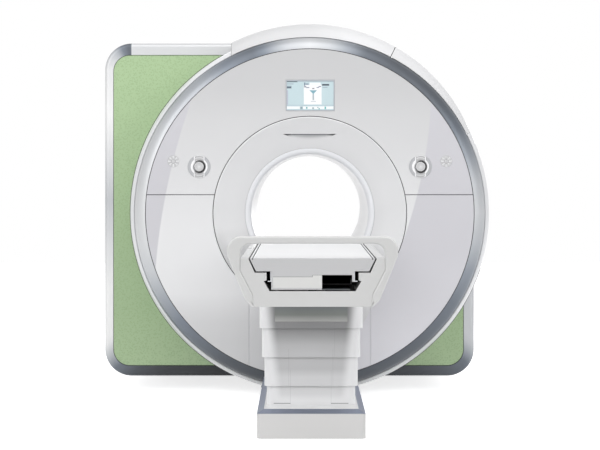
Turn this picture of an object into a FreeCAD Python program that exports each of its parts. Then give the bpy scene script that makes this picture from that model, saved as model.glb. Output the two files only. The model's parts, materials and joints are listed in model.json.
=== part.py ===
import FreeCAD, Part
import math
import os

# Whole-body magnetic resonance scanner with its patient table, in millimetres.
# X runs across the scanner, +Y from the patient's end into the bore, +Z up.
# The origin is on the floor straight below the centre of the bore.

# ---------------------------------------------------------------- bore and front covers
DRUM_R = 1081.0            # white drum behind the bezel ring
FLOOR_GAP = 19.0           # drum above the floor
TUNNEL_R = 350.0           # free radius of the patient tunnel
FRONT_GAP = 165.0          # crest of the funnel rim, the foremost cover, before the magnet's flange
REAR_GAP = 165.0           # back of the rear cover behind the magnet
COVER_T = 10.0             # thickness of the flat covers
SKIN_T = 8.0               # thickness of the curved covers
SEAM = 4.0                 # width of a seam between two covers
FIT = 0.3                  # clearance between parts that seat or slide
FACE_DROP = 5.0            # the flat face lies this far behind the funnel's crest
FUNNEL_W = 188.0           # width of the funnel
MOUTH_W = 37.0             # width of the bore mouth ring
MOUTH_DEPTH = 82.0         # funnel's inner edge behind its crest
MOUTH_ROUND = 9.0          # hollow of the bore mouth ring, in front and at its back
MOUTH_BACK = 16.0
RIM_ROUND = 6.0            # rounded outer edge of the funnel
FUNNEL_SAG = 6.0           # hollow of the funnel's profile
FUNNEL_BACK = 1.35         # its thickness at mid width, in skins
LINER_START = 110.0        # start of the tunnel behind the crest
LINER_END = 125.0          # end of the tunnel before the back of the rear cover
LINER_T = 6.0
BEZEL_W = 73.0             # width of the bezel ring
BEZEL_DEPTH = 75.0         # outer edge of the bezel ring behind the crest
BEZEL_STEP = 3.0           # inner edge of the bezel ring behind the face
BEZEL_BULGE = 14.0         # swell of the bezel ring, forward and outward
BEZEL_OUT = 5.6
LIP_W = 32.0               # rounded front of the drum outside the bezel ring
LIP_DEPTH = 165.0          # full drum radius is reached this far behind the crest
LIP_STEP = 2.0             # front edge of the drum's lip behind the bezel ring's edge
LIP_BULGE = 7.0            # swell of the lip, forward and outward
LIP_OUT = 5.0
FLANGE = 22.0              # width of the hidden flanges that carry a neighbour
SPLIT_Z = 109.0            # seam of upper and lower face panels above the bore axis
SPLIT_X = 360.0            # seams of the lower centre panel
RECESS_HALF = 160.0        # laser recess at the top of the funnel
RECESS_DROP = 104.0        # top of the recess below the funnel's seam
RECESS_SAG = 32.0
RECESS_FLOOR = 58.0        # floor of the recess behind the crest
WINDOW_HALF = 95.0
WINDOW_H = 11.0
WINDOW_T = 2.5

# ---------------------------------------------------------------- raised drum top
TOP_RISE = 92.0            # centre of the raised drum top above the bore axis
HOOD_INSET = 38.0          # radius of the raised top, less than the drum's
TOP_SHOULDER = 0.375       # share of the lip's depth where the top's front rounds over
TOP_LEAN = 0.67            # share of the rise reached there
TOP_SWELL = 1.0            # swell of the front there
TOP_LEFT_X = -471.0        # left seam of the top cover
TOP_RIGHT_DEG = 27.4       # right seam of the top cover, from the vertical
CAP_L = 600.0              # length of the cap over the body
CAP_ROUND = 40.0

# ---------------------------------------------------------------- square body behind the drum
DRUM_L = 415.0             # body's front behind the funnel's crest
BODY_LEFT_OUT = 183.0      # left side of the body outside the drum
BODY_RIGHT_IN = 64.0       # right side, top and bottom of the body inside the drum
BODY_TOP_IN = 42.0
BODY_LOW_IN = 65.0
BODY_ROUND = 165.0
SWEEP_INSET = 81.0         # large radius of the upper right corner, less than the drum's
FRAME_LEFT = 52.0          # widths of the metal frame strip
FRAME_RIGHT = 64.0
FRAME_TOP = 72.0
FRAME_BOTTOM = 63.0
FRAME_DEPTH = 90.0
FRAME_ROUND = 24.0
PANEL_DROP = 4.0           # green panel behind the frame's front
PANEL_LAP = 91.0           # green panel's reach behind the drum
REAR_T = 25.0
REAR_FUNNEL_R = 540.0
REAR_FLARE = 12.0          # swell of the rear funnel
VENT_COUNT = 9
VENT_PITCH = 46.0
VENT_W = 14.0
VENT_H = 130.0
VENT_DROP = 330.0          # top of the vents below the body's top
VENT_X = -700.0            # first vent slot
TURRET_CUT_X = 400.0
TURRET_CUT_H = 200.0

# ---------------------------------------------------------------- magnet
SHELL_GAP = 131.0          # vacuum vessel inside the drum's radius
SHELL_T = 12.0
SHELL_HALF = 700.0
BORE_TUBE_GAP = 10.0       # vacuum vessel's bore tube outside the gradient coil
BORE_TUBE_T = 8.0
SHIELD_GAP = 42.0          # thermal shield inside the vessel, outside its bore tube and at the ends
SHIELD_IN_GAP = 28.0
SHIELD_END = 40.0
SHIELD_T = 4.0
HELIUM_GAP = 28.0          # helium vessel inside the shield, likewise
HELIUM_IN_GAP = 20.0
HELIUM_END = 40.0
HELIUM_T = 8.0
FORMER_T = 22.0
COIL_T = 64.0
COIL_W = (150.0, 90.0, 60.0)    # outer, middle and inner coil packs of each half
COIL_END = 120.0           # centre of the outer pack from the end of the helium vessel
COIL_INNER_Y = 95.0        # centre of the inner pack
ROD_R = 12.0
ROD_END = 200.0            # rods from the end of the helium vessel
ROD_ANGLES = (40.0, 140.0, 220.0, 320.0)
GRADIENT_T = 70.0
GRADIENT_END = 20.0        # gradient coil short of the vessel's end
RF_GAP = 16.0              # rungs of the body coil outside the tunnel
RF_SPACE = 6.0             # gradient coil outside the rungs
RF_T = 5.0
RF_END = 300.0             # body coil short of the gradient coil's end
RF_RUNGS = 16
RF_RUNG_W = 26.0
END_RING = 40.0
NECK_R = 96.0              # neck tube from the helium vessel to the turret
NECK_T = 8.0
NECK_IN = 330.0            # neck behind the body's front
TURRET_R = 150.0
TURRET_H = 128.0
VENT_PIPE_R = 55.0
COLD_X = 270.0
COLD_R = 62.0
COLD_HEAD_R = 80.0
COLD_SINK = 17.0           # its flange below the turret's foot
COLD_DROP = 14.0           # its top below the turret's top
COLD_VALVE_H = 30.0

# ---------------------------------------------------------------- magnet base
BEAM_H = 60.0
BEAM_HALF = 80.0
FRONT_BEAM_IN = 100.0      # front beam behind the body's front
REAR_BEAM_IN = 370.0       # rear beam before the magnet's rear end
BEAM_W = 130.0
FRONT_FOOT_X = (120.0, 300.0)
REAR_FOOT_IN = (590.0, 350.0)   # sides of the rear feet inside the vessel's radius
POST_W = 90.0
POST_INSET = 220.0

# ---------------------------------------------------------------- face details
SCREEN_W = 289.0
SCREEN_H = 184.0
SCREEN_X = 2.5
SCREEN_LIFT = 124.0        # centre above the funnel's seam
SCREEN_RIM = 6.0
SCREEN_BACK = 22.0
SCREEN_PROUD = 2.0
CONTROL_DEG = 67.21        # place on the face: angle from the vertical and share of the face's width
CONTROL_SHARE = 0.3432
CONTROL_R = 67.0
CONTROL_RIM = 4.0
KNOB_R = 28.0
KNOB_GROOVE = 7.0
KEY_GAP = 3.0              # land between groove and keys
KNOB_PROUD = 14.0
STEM_R = 8.0
STEM_CLEAR = 0.08
KEY_HALF = 25.0
KEY_PROUD = 5.0
KEY_TRAVEL = 2.5
HOUSING_PROUD = 2.0
HOUSING_DEPTH = 24.0
HOUSING_FLOOR = 5.0
GRILLE_DEG = 69.18
GRILLE_SHARE = 0.7271
GRILLE_R = 34.0
GRILLE_PROUD = 1.0
GRILLE_T = 6.0
HOLE_R = 4.0
HOLE_RING_R = (0.0, 12.5, 25.0)
HOLE_COUNT = (1, 6, 8)     # holes in each ring

# ---------------------------------------------------------------- patient table
TABLE_L = 2514.0
TABLE_GAP = 35.0           # table's head end before the funnel's crest
TOP_DROP = 138.0           # surface of the tabletop below the bore axis
TOP_T = 58.0               # thickness of the tabletop's wings
TOP_CLEAR = 69.0           # tabletop's half width less than the tunnel's radius
TOP_EDGE_IN = 29.0         # lower edge of its wings
TOP_INSET = 2.0            # tabletop behind the table body's foot end
HEAD_INSET = 12.0          # tabletop short of the table body's head end
KEEL_IN = 41.0             # keel's side from the trough's ledge
KEEL_DEPTH = 82.0
KEEL_WALL = 8.0
KEEL_ROOF_T = 16.0
KEEL_SILL = 3.0            # floor of the keel where it is open, and how far in that reaches
KEEL_MOUTH = 300.0
SLOT_IN = 16.0             # accessory slot along each edge
SLOT_W = 5.0
SLOT_D = 6.0
GAP = 6.0                  # shadow gap between tabletop and table body
BODY_OUT = 41.0            # flank outside the tabletop
CREASE_DROP = 54.0         # crease of the flank, below the tabletop's surface
CREASE_LOW_IN = 56.0
CREASE_LOW_DROP = 162.0
FLOOR_IN = 4.0
BOX_DEPTH = 75.5           # room for the drive under the keel
FLOOR_T = 8.0
CAP_H = 22.0
KEEL_GAP = 8.0             # trough's wall outside the keel
LEDGE_LAP = 27.0           # ledge under the tabletop's wings
CHANNEL_IN = 20.0          # upright part of the channel beside the keel, inside the ledge
CHANNEL_H = 34.0
CHANNEL_UNDERCUT = 12.0    # and the undercut below it
CHANNEL_STEP = 4.0
RAIL_W = 20.0
RAIL_START = 60.0
END_WALL = 10.0
COVER_SPLIT_X = 42.0       # right edge of the foot end cover
COVER_STEP_X = -1.0
COVER_H = 50.0
BRACKET_L = 60.0
BRACKET_T = 4.0
BRACKET_FOOT = 16.0
BRACKET_H = 46.0

# loop handle round the foot end
LOOP_RISE = 98.0           # top of the loop above the tabletop
LOOP_BAR = 33.0
LOOP_OUT = 59.0            # loop's widest point and its lower ends outside the flanks
LOOP_LOW_OUT = 32.0
LOOP_WIDE_RISE = 13.0      # height where the loop is widest, above the tabletop
LOOP_LOW_DROP = 188.0
LOOP_TOE = 8.0             # foot of its legs at the table's lower edge
LOOP_ROUND = 62.0
LOOP_IN_ROUND = 46.0
LOOP_DEPTH = 48.0
LOOP_PROUD = 4.0
LOOP_EDGE = 10.0

# tabletop drive
PULLEY_R = 24.0
PULLEY_HALF = 22.0
PULLEY_RIM = 2.0
PULLEY_RIM_W = 3.0
PULLEY_LIFT = 30.5         # pulley shafts above the trough's floor
DRIVE_IN = 174.0           # pulleys inside the table's ends
IDLE_IN = 160.0
SHAFT_R = 6.0
SHAFT_HALF = 62.0
SHAFT_CLEAR = 0.08
BELT_T = 3.5
BELT_HALF = 20.0
CHEEK_IN = 46.0
CHEEK_T = 8.0
CHEEK_HALF = 20.0
MOTOR_R = 23.0
MOTOR_GAP = 58.0           # motor from the middle and short of the trough's wall
MOTOR_END = 19.0
CLAMP_L = 60.0             # belt clamp under the keel and its distance from the drive shaft
CLAMP_START = 60.0

# plinth
PLINTH_OUT = 10.0          # plinth wider than the column
PLINTH_TOE = 134.0         # and longer at its front
PLINTH_H = 127.0
DECK_RISE = 20.0
PLINTH_WALL = 12.0
PLINTH_CORNER = 16.0
TRIM_W = 35.0

# telescopic column, its heights above the deck
COLUMN_L = 1116.0
COLUMN_IN = 250.0          # column's rear from the table's head end
SLEEVE_OUT = 3.0           # top sleeve wider than the table's floor
SLEEVE_STEP = 12.5
SLEEVE_T = 4.0
SLEEVE_ROUND = 38.0
SLEEVE_LOW = (398.0, 248.0, 99.0, 0.0)
SLEEVE_TOP = (443.0, 293.0, 183.0)      # the top sleeve reaches up to the table body
PAD_W = 60.0
PAD_H = 30.0
PANEL_IN = 77.0            # recessed panel in the front of the top sleeve
PANEL_BELOW = 24.5
PANEL_ABOVE = 34.0
PANEL_RECESS = 2.0
STAGE_HALF = 110.0
STAGE_T = 10.0
STAGE_LAP = 25.0           # overlap that each stage adds to its third of the height
STAGE_IN = 253.0           # from the column's ends

# values that follow from the sizes above
AXIS_Z = DRUM_R + FLOOR_GAP
BEZEL_R = DRUM_R - LIP_W
FACE_R = BEZEL_R - BEZEL_W
MOUTH_R = TUNNEL_R + MOUTH_W
FUNNEL_R = MOUTH_R + FUNNEL_W
RECESS_TOP = FUNNEL_R - RECESS_DROP
TOP_R = DRUM_R - HOOD_INSET
PANEL_HOLE_R = DRUM_R - PANEL_LAP
SHELL_R = DRUM_R - SHELL_GAP
FRONT_Y = -SHELL_HALF - FRONT_GAP
REAR_Y = SHELL_HALF + REAR_GAP
BODY_FRONT_Y = FRONT_Y + DRUM_L
BODY_LEFT = -DRUM_R - BODY_LEFT_OUT
BODY_RIGHT = DRUM_R - BODY_RIGHT_IN
BODY_TOP = AXIS_Z + DRUM_R - BODY_TOP_IN
BODY_SWEEP = DRUM_R - SWEEP_INSET
BODY_BOTTOM = AXIS_Z - DRUM_R + BODY_LOW_IN
CAP_REAR_Y = BODY_FRONT_Y + CAP_L
RF_R = TUNNEL_R + RF_GAP
GRADIENT_IN_R = RF_R + RF_SPACE
GRADIENT_R = GRADIENT_IN_R + GRADIENT_T
GRADIENT_HALF = SHELL_HALF - GRADIENT_END
RF_HALF = GRADIENT_HALF - RF_END
BORE_TUBE_R = GRADIENT_R + BORE_TUBE_GAP
SHIELD_R = SHELL_R - SHIELD_GAP
SHIELD_IN_R = BORE_TUBE_R + SHIELD_IN_GAP
SHIELD_HALF = SHELL_HALF - SHIELD_END
HELIUM_R = SHIELD_R - HELIUM_GAP
HELIUM_IN_R = SHIELD_IN_R + HELIUM_IN_GAP
HELIUM_HALF = SHIELD_HALF - HELIUM_END
COIL_OUTER_Y = HELIUM_HALF - COIL_END
COIL_Y = (COIL_OUTER_Y, (COIL_OUTER_Y + COIL_INNER_Y) / 2, COIL_INNER_Y)
ROD_Y = HELIUM_HALF - ROD_END
NECK_Y = BODY_FRONT_Y + NECK_IN
FRONT_BEAM_Y = BODY_FRONT_Y + FRONT_BEAM_IN
REAR_BEAM_Y = SHELL_HALF - REAR_BEAM_IN
REAR_FOOT_X = (SHELL_R - REAR_FOOT_IN[0], SHELL_R - REAR_FOOT_IN[1])
SCREEN_Z = FUNNEL_R + SCREEN_LIFT
TABLE_HEAD_Y = FRONT_Y - TABLE_GAP
TABLE_FOOT_Y = TABLE_HEAD_Y - TABLE_L
TOP_HALF = TUNNEL_R - TOP_CLEAR
TOP_EDGE_HALF = TOP_HALF - TOP_EDGE_IN
LEDGE_IN = TOP_EDGE_HALF - LEDGE_LAP
KEEL_HALF = LEDGE_IN - KEEL_IN
TROUGH_HALF = KEEL_HALF + KEEL_GAP
SLOT_X = TOP_HALF - SLOT_IN
BODY_HALF = TOP_HALF + BODY_OUT
CREASE_LOW_HALF = BODY_HALF - CREASE_LOW_IN
FLOOR_HALF = CREASE_LOW_HALF - FLOOR_IN
LOOP_HALF = BODY_HALF + LOOP_OUT
LOOP_LOW_HALF = CREASE_LOW_HALF + LOOP_LOW_OUT
DRIVE_Y = TABLE_FOOT_Y + DRIVE_IN
IDLE_Y = TABLE_HEAD_Y - IDLE_IN
MOTOR_L = TROUGH_HALF - MOTOR_GAP - MOTOR_END
COLUMN_REAR_Y = TABLE_HEAD_Y - COLUMN_IN
COLUMN_FRONT_Y = COLUMN_REAR_Y - COLUMN_L
SLEEVE_HALF = FLOOR_HALF + SLEEVE_OUT
PANEL_HALF = SLEEVE_HALF - PANEL_IN
PLINTH_HALF = SLEEVE_HALF + PLINTH_OUT
PLINTH_FRONT_Y = COLUMN_FRONT_Y - PLINTH_TOE
STAGE_Y = (COLUMN_FRONT_Y + STAGE_IN, COLUMN_REAR_Y - STAGE_IN)
FACE_Y = FRONT_Y + FACE_DROP
FACE_BACK = FACE_Y + COVER_T
PLINTH_REAR_Y = FACE_Y - FIT
MOUTH_Y = FRONT_Y + MOUTH_DEPTH
LINER_Y0 = FRONT_Y + LINER_START
LINER_Y1 = REAR_Y - LINER_END
BEZEL_Y = FRONT_Y + BEZEL_DEPTH
LIP_Y = FRONT_Y + LIP_DEPTH
PANEL_Y = BODY_FRONT_Y + PANEL_DROP
REAR_FRONT = REAR_Y - REAR_T
SEAM_DEG = math.degrees(SEAM / 2 / DRUM_R)
TURRET_BASE = AXIS_Z + SHELL_R + SHELL_T
TURRET_TOP = TURRET_BASE + TURRET_H
COLD_STEP = TURRET_BASE - COLD_SINK
COLD_TOP = TURRET_TOP - COLD_DROP
TOP_Z = AXIS_Z - TOP_DROP
UNDER_Z = TOP_Z - TOP_T
KEEL_BOTTOM = UNDER_Z - KEEL_DEPTH
KEEL_ROOF = UNDER_Z - KEEL_ROOF_T
BRACKET_LOW = UNDER_Z - BRACKET_H
CREASE_Z = TOP_Z - CREASE_DROP
CREASE_LOW_Z = TOP_Z - CREASE_LOW_DROP
TABLE_BOTTOM = KEEL_BOTTOM - BOX_DEPTH
TROUGH_FLOOR = TABLE_BOTTOM + FLOOR_T
CAP_Z = TOP_Z - CAP_H
CAP_IN = TOP_HALF + GAP - (TOP_HALF - TOP_EDGE_HALF) * CAP_H / TOP_T
LOOP_TOP = TOP_Z + LOOP_RISE
LOOP_WIDE_Z = TOP_Z + LOOP_WIDE_RISE
LOOP_LOW_Z = TOP_Z - LOOP_LOW_DROP
TOP_Y0 = TABLE_FOOT_Y + TOP_INSET
TOP_Y1 = TABLE_HEAD_Y - HEAD_INSET
PULLEY_Z = TROUGH_FLOOR + PULLEY_LIFT
DECK_Z = PLINTH_H + DECK_RISE
STAGE_L = (TABLE_BOTTOM - DECK_Z) / 3 + STAGE_LAP
STAGE_TOP_LOW = TABLE_BOTTOM - STAGE_L
STAGE_LOW = (DECK_Z, (DECK_Z + STAGE_TOP_LOW) / 2, STAGE_TOP_LOW)
NEAR = FIT / 2             # edges this close to a plane lie on it
ARC = 1 - math.sqrt(0.5)   # from a corner to the middle of its rounding, per unit of radius
REACH = DRUM_R + 4 * TOP_RISE      # farther than any cover from the bore axis
WEDGE_STEPS = 6


def vec(x, y, z):
    return FreeCAD.Vector(x, y, z)


# ---------------------------------------------------------------- basic shapes
def block(x0, x1, y0, y1, z0, z1):
    return Part.makeBox(x1 - x0, y1 - y0, z1 - z0, vec(x0, y0, z0))


def rod_y(radius, y0, y1, x=0.0, z=AXIS_Z):
    return Part.makeCylinder(radius, y1 - y0, vec(x, y0, z), vec(0, 1, 0))


def rod_x(radius, x0, x1, y, z):
    return Part.makeCylinder(radius, x1 - x0, vec(x0, y, z), vec(1, 0, 0))


def rod_z(radius, z0, z1, x=0.0, y=0.0):
    return Part.makeCylinder(radius, z1 - z0, vec(x, y, z0), vec(0, 0, 1))


def tube_y(outer, inner, y0, y1, x=0.0, z=AXIS_Z):
    return rod_y(outer, y0, y1, x, z).cut(rod_y(inner, y0, y1, x, z))


def mirrored(shape):
    return shape.mirror(vec(0, 0, 0), vec(1, 0, 0))


def outline(steps):
    """Closed wire from steps: a point, or (middle, end) of an arc from the point before."""
    edges = []
    here = steps[0]
    for step in steps[1:] + [steps[0]]:
        if isinstance(step, tuple):
            middle, end = step
            edges.append(Part.Arc(here, middle, end).toShape())
            here = end
        else:
            if here.distanceToPoint(step) > 1e-6:
                edges.append(Part.LineSegment(here, step).toShape())
            here = step
    return Part.Wire(edges)


def turned(steps):
    """A ring about the bore axis, from a profile of (radius, y) points and arcs."""

    def place(point):
        return vec(point[0], point[1], AXIS_Z)

    wire_steps = []
    for step in steps:
        if len(step) == 2 and isinstance(step[0], tuple):
            wire_steps.append((place(step[0]), place(step[1])))
        else:
            wire_steps.append(place(step))
    face = Part.Face(outline(wire_steps))
    return face.revolve(vec(0, 0, AXIS_Z), vec(0, 1, 0), 360)


def prism_y(steps, y0, y1):
    """Extrudes an outline of (x, z) points and arcs from y0 to y1."""

    def place(point):
        return vec(point[0], y0, point[1])

    wire_steps = []
    for step in steps:
        if len(step) == 2 and isinstance(step[0], tuple):
            wire_steps.append((place(step[0]), place(step[1])))
        else:
            wire_steps.append(place(step))
    return Part.Face(outline(wire_steps)).extrude(vec(0, y1 - y0, 0))


def symmetric(half):
    """Completes the right half of an outline, from the centre line round to it again."""
    return half + [(-x, z) for x, z in reversed(half) if x > 0]


def loft(circles):
    """Smooth solid through circles square to Y: (radius, y, centre height above the axis)."""
    wires = []
    for radius, y, rise in circles:
        circle = Part.Circle(vec(0, y, AXIS_Z + rise), vec(0, 1, 0), radius)
        wires.append(Part.Wire([circle.toShape()]))
    return Part.makeLoft(wires, True)


def wedge(from_deg, to_deg, y0, y1):
    """Sector about the bore axis, in degrees clockwise from the top as seen from the front."""
    corners = [(0.0, AXIS_Z)]
    for i in range(WEDGE_STEPS + 1):
        angle = math.radians(from_deg + (to_deg - from_deg) * i / WEDGE_STEPS)
        corners.append((REACH * math.sin(angle), AXIS_Z + REACH * math.cos(angle)))
    return prism_y(corners, y0, y1)


def save(name, shape):
    solids = shape.Solids
    result = solids[0] if len(solids) == 1 else Part.makeCompound(solids)
    result.exportStep(os.path.join("parts", name + ".step"))


# ---------------------------------------------------------------- magnet
def magnet_base():
    span_y = (FRONT_BEAM_Y, REAR_BEAM_Y + BEAM_W)
    frame = block(-BEAM_HALF, BEAM_HALF, span_y[0], span_y[1], 0, BEAM_H)
    post_x = (BODY_LEFT + POST_INSET, BODY_RIGHT - POST_INSET)
    front = block(-FRONT_FOOT_X[1], FRONT_FOOT_X[1], FRONT_BEAM_Y, FRONT_BEAM_Y + BEAM_W, 0, BEAM_H)
    rear = block(post_x[0], post_x[1], REAR_BEAM_Y, REAR_BEAM_Y + BEAM_W, 0, BEAM_H)
    frame = frame.fuse([front, rear])
    for beam_y, feet in ((FRONT_BEAM_Y, FRONT_FOOT_X), (REAR_BEAM_Y, REAR_FOOT_X)):
        for side in (-1, 1):
            x0, x1 = sorted((side * feet[0], side * feet[1]))
            frame = frame.fuse(block(x0, x1, beam_y, beam_y + BEAM_W, BEAM_H, AXIS_Z / 2))
    for x0 in (post_x[0], post_x[1] - POST_W):
        frame = frame.fuse(block(x0, x0 + POST_W, REAR_BEAM_Y, REAR_BEAM_Y + BEAM_W, BEAM_H, BODY_BOTTOM))
    return frame.cut(rod_y(SHELL_R + FIT, span_y[0], span_y[1])).removeSplitter()


def neck_hole(clearance):
    return rod_z(NECK_R + clearance, AXIS_Z, BODY_TOP, 0, NECK_Y)


def cold_hole(clearance):
    return rod_z(COLD_R + clearance, AXIS_Z, BODY_TOP, COLD_X, NECK_Y)


def cryostat_vessel():
    """Vacuum vessel: outer shell, bore tube and rear flange welded into one."""
    shell = tube_y(SHELL_R, SHELL_R - SHELL_T, -SHELL_HALF, SHELL_HALF)
    bore = tube_y(BORE_TUBE_R + BORE_TUBE_T, BORE_TUBE_R, -SHELL_HALF, SHELL_HALF)
    rear = tube_y(SHELL_R, BORE_TUBE_R, SHELL_HALF, SHELL_HALF + SHELL_T)
    return shell.cut([neck_hole(FIT), cold_hole(FIT)]).fuse([bore, rear])


def cryostat_front_flange():
    return tube_y(SHELL_R, BORE_TUBE_R, -SHELL_HALF - SHELL_T, -SHELL_HALF)


def can(outer, inner, half, wall):
    """Ring-shaped can with a hollow wall."""
    skin = tube_y(outer, inner, -half, half)
    return skin.cut(tube_y(outer - wall, inner + wall, wall - half, half - wall))


def rods(radius):
    """Radial rods that hang the cold mass in the vacuum vessel."""
    made = []
    for angle in ROD_ANGLES:
        turn = math.radians(angle)
        direction = vec(math.sin(turn), 0, math.cos(turn))
        for y in (-ROD_Y, ROD_Y):
            made.append(Part.makeCylinder(radius, SHELL_R, vec(0, y, AXIS_Z), direction))
    return made


def thermal_shield():
    shield = can(SHIELD_R, SHIELD_IN_R, SHIELD_HALF, SHIELD_T)
    band = tube_y(SHIELD_R + FIT, SHIELD_R - 2 * SHIELD_T, -SHIELD_HALF, SHIELD_HALF)
    holes = [rod.common(band) for rod in rods(ROD_R + FIT)]
    return shield.cut(holes + [neck_hole(FIT), cold_hole(FIT)])


def helium_vessel():
    return can(HELIUM_R, HELIUM_IN_R, HELIUM_HALF, HELIUM_T).cut(neck_hole(FIT))


def suspension_rods():
    space = tube_y(SHELL_R - SHELL_T - FIT, HELIUM_R + FIT, -SHELL_HALF, SHELL_HALF)
    return Part.makeCompound([rod.common(space) for rod in rods(ROD_R)])


def coil_places():
    """Centre and width of each coil pack along the bore."""
    return [(side * y, w) for side in (-1, 1) for y, w in zip(COIL_Y, COIL_W)]


def coil_former():
    inner = HELIUM_IN_R + HELIUM_T + FIT
    half = HELIUM_HALF - HELIUM_T - FIT
    former = tube_y(inner + FORMER_T + COIL_T, inner, -half, half)
    for y, w in coil_places():
        groove = tube_y(inner + FORMER_T + COIL_T, inner + FORMER_T, y - w / 2 - FIT, y + w / 2 + FIT)
        former = former.cut(groove)
    return former


def main_coils():
    inner = HELIUM_IN_R + HELIUM_T + FIT + FORMER_T + FIT
    return Part.makeCompound([tube_y(inner + COIL_T - FIT, inner, y - w / 2, y + w / 2)
                              for y, w in coil_places()])


def gradient_coil():
    coil = tube_y(GRADIENT_R, GRADIENT_IN_R, -GRADIENT_HALF, GRADIENT_HALF)
    for y0 in (-GRADIENT_HALF, GRADIENT_HALF - END_RING):
        coil = coil.fuse(tube_y(BORE_TUBE_R - FIT, GRADIENT_IN_R, y0, y0 + END_RING))
    return coil


def rf_body_coil():
    """Birdcage coil: two end rings joined by rungs on a thin former."""
    inner = TUNNEL_R + LINER_T + FIT
    coil = tube_y(inner + RF_T, inner, -RF_HALF, RF_HALF)
    for y0 in (-RF_HALF, RF_HALF - END_RING):
        coil = coil.fuse(tube_y(GRADIENT_IN_R - FIT, inner, y0, y0 + END_RING))
    rungs = []
    for i in range(RF_RUNGS):
        rung = block(-RF_RUNG_W / 2, RF_RUNG_W / 2, END_RING - RF_HALF, RF_HALF - END_RING,
                     AXIS_Z + inner + RF_T / 2, AXIS_Z + RF_R + RF_T / 2)
        rung.rotate(vec(0, 0, AXIS_Z), vec(0, 1, 0), 360.0 * i / RF_RUNGS)
        rungs.append(rung)
    return coil.fuse(rungs)


def service_turret():
    """Neck tube up from the helium vessel, its head and the vent pipe to the rear."""
    neck = rod_z(NECK_R, AXIS_Z + HELIUM_R - HELIUM_T, TURRET_BASE, 0, NECK_Y)
    head = rod_z(TURRET_R, TURRET_BASE, TURRET_TOP, 0, NECK_Y)
    bore = rod_z(NECK_R - NECK_T, AXIS_Z, TURRET_TOP - NECK_T, 0, NECK_Y)
    pipe_z = (TURRET_BASE + TURRET_TOP) / 2
    pipe = rod_y(VENT_PIPE_R, NECK_Y, CAP_REAR_Y - CAP_ROUND, 0, pipe_z)
    pipe_bore = rod_y(VENT_PIPE_R - NECK_T, NECK_Y, CAP_REAR_Y, 0, pipe_z)
    return neck.fuse([head, pipe]).cut([bore, pipe_bore])


def cold_head():
    start = AXIS_Z + math.sqrt(HELIUM_R ** 2 - (COLD_X - COLD_R) ** 2) + FIT
    cold_finger = rod_z(COLD_R, start, COLD_STEP, COLD_X, NECK_Y)
    drive_top = COLD_TOP - COLD_VALVE_H
    drive = rod_z(COLD_HEAD_R, COLD_STEP, drive_top, COLD_X, NECK_Y)
    valve = rod_z(COLD_R / 2, drive_top, COLD_TOP, COLD_X, NECK_Y)
    return cold_finger.fuse([drive, valve])


# ---------------------------------------------------------------- tunnel and front covers
def bore_liner():
    """Tunnel tube with two moulded rails that carry the tabletop."""
    tube = tube_y(TUNNEL_R + LINER_T, TUNNEL_R, LINER_Y0, LINER_Y1)
    space = rod_y(TUNNEL_R + LINER_T / 2, LINER_Y0, LINER_Y1)
    for x0 in (LEDGE_IN - RAIL_W, -LEDGE_IN):
        rail = block(x0, x0 + RAIL_W, LINER_Y0, LINER_Y1, AXIS_Z - TUNNEL_R, UNDER_Z - FIT)
        tube = tube.fuse(rail.common(space))
    return tube


def front_bore_ring():
    """Rounded ring that leads from the funnel into the tunnel."""
    outer = MOUTH_R - SEAM / 2
    return turned([
        (TUNNEL_R, LINER_Y0),
        ((TUNNEL_R + MOUTH_ROUND, MOUTH_Y + MOUTH_ROUND), (outer, MOUTH_Y)),
        (outer, MOUTH_Y + COVER_T),
        (MOUTH_R - FLANGE / 2, MOUTH_Y + COVER_T),
        ((TUNNEL_R + MOUTH_BACK, MOUTH_Y + MOUTH_BACK), (TUNNEL_R + SKIN_T, LINER_Y0)),
    ])


def front_funnel_cover():
    """Funnel with a rolled rim, hollow cone, two hidden flanges and the laser recess at its top."""
    outer, inner = FUNNEL_R - SEAM / 2, MOUTH_R + SEAM / 2
    middle = ((outer + inner) / 2, FRONT_Y + MOUTH_DEPTH / 2 + FUNNEL_SAG)
    back = MOUTH_Y + COVER_T
    funnel = turned([
        (outer, FACE_BACK),
        (outer, FRONT_Y + RIM_ROUND),
        ((outer - ARC * RIM_ROUND, FRONT_Y + ARC * RIM_ROUND), (outer - RIM_ROUND, FRONT_Y)),
        (middle, (inner, MOUTH_Y)),
        (inner, back),
        (inner - FLANGE / 2, back),
        (inner - FLANGE / 2, back + SKIN_T),
        (inner + 2 * SKIN_T, back + SKIN_T),
        ((middle[0], middle[1] + FUNNEL_BACK * SKIN_T), (outer - 2 * SKIN_T, FACE_BACK + SKIN_T)),
        (outer + FLANGE, FACE_BACK + SKIN_T),
        (outer + FLANGE, FACE_BACK),
    ])
    return funnel.cut(laser_recess())


def laser_recess():
    """Crescent-shaped hollow at the top of the funnel."""
    radius = (RECESS_HALF ** 2 + RECESS_SAG ** 2) / (2 * RECESS_SAG)
    low = AXIS_Z + RECESS_TOP - RECESS_SAG
    scoop = rod_y(radius, FRONT_Y, FRONT_Y + RECESS_FLOOR, 0, low + radius)
    below = block(-RECESS_HALF, RECESS_HALF, FRONT_Y, REAR_Y, AXIS_Z, AXIS_Z + RECESS_TOP)
    return scoop.common(below)


def laser_window():
    floor = FRONT_Y + RECESS_FLOOR
    top = AXIS_Z + RECESS_TOP - SKIN_T / 2
    return block(-WINDOW_HALF, WINDOW_HALF, floor - WINDOW_T, floor, top - WINDOW_H, top)


def face_ring():
    return tube_y(FACE_R - SEAM / 2, FUNNEL_R + SEAM / 2, FACE_Y, FACE_BACK)


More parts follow.
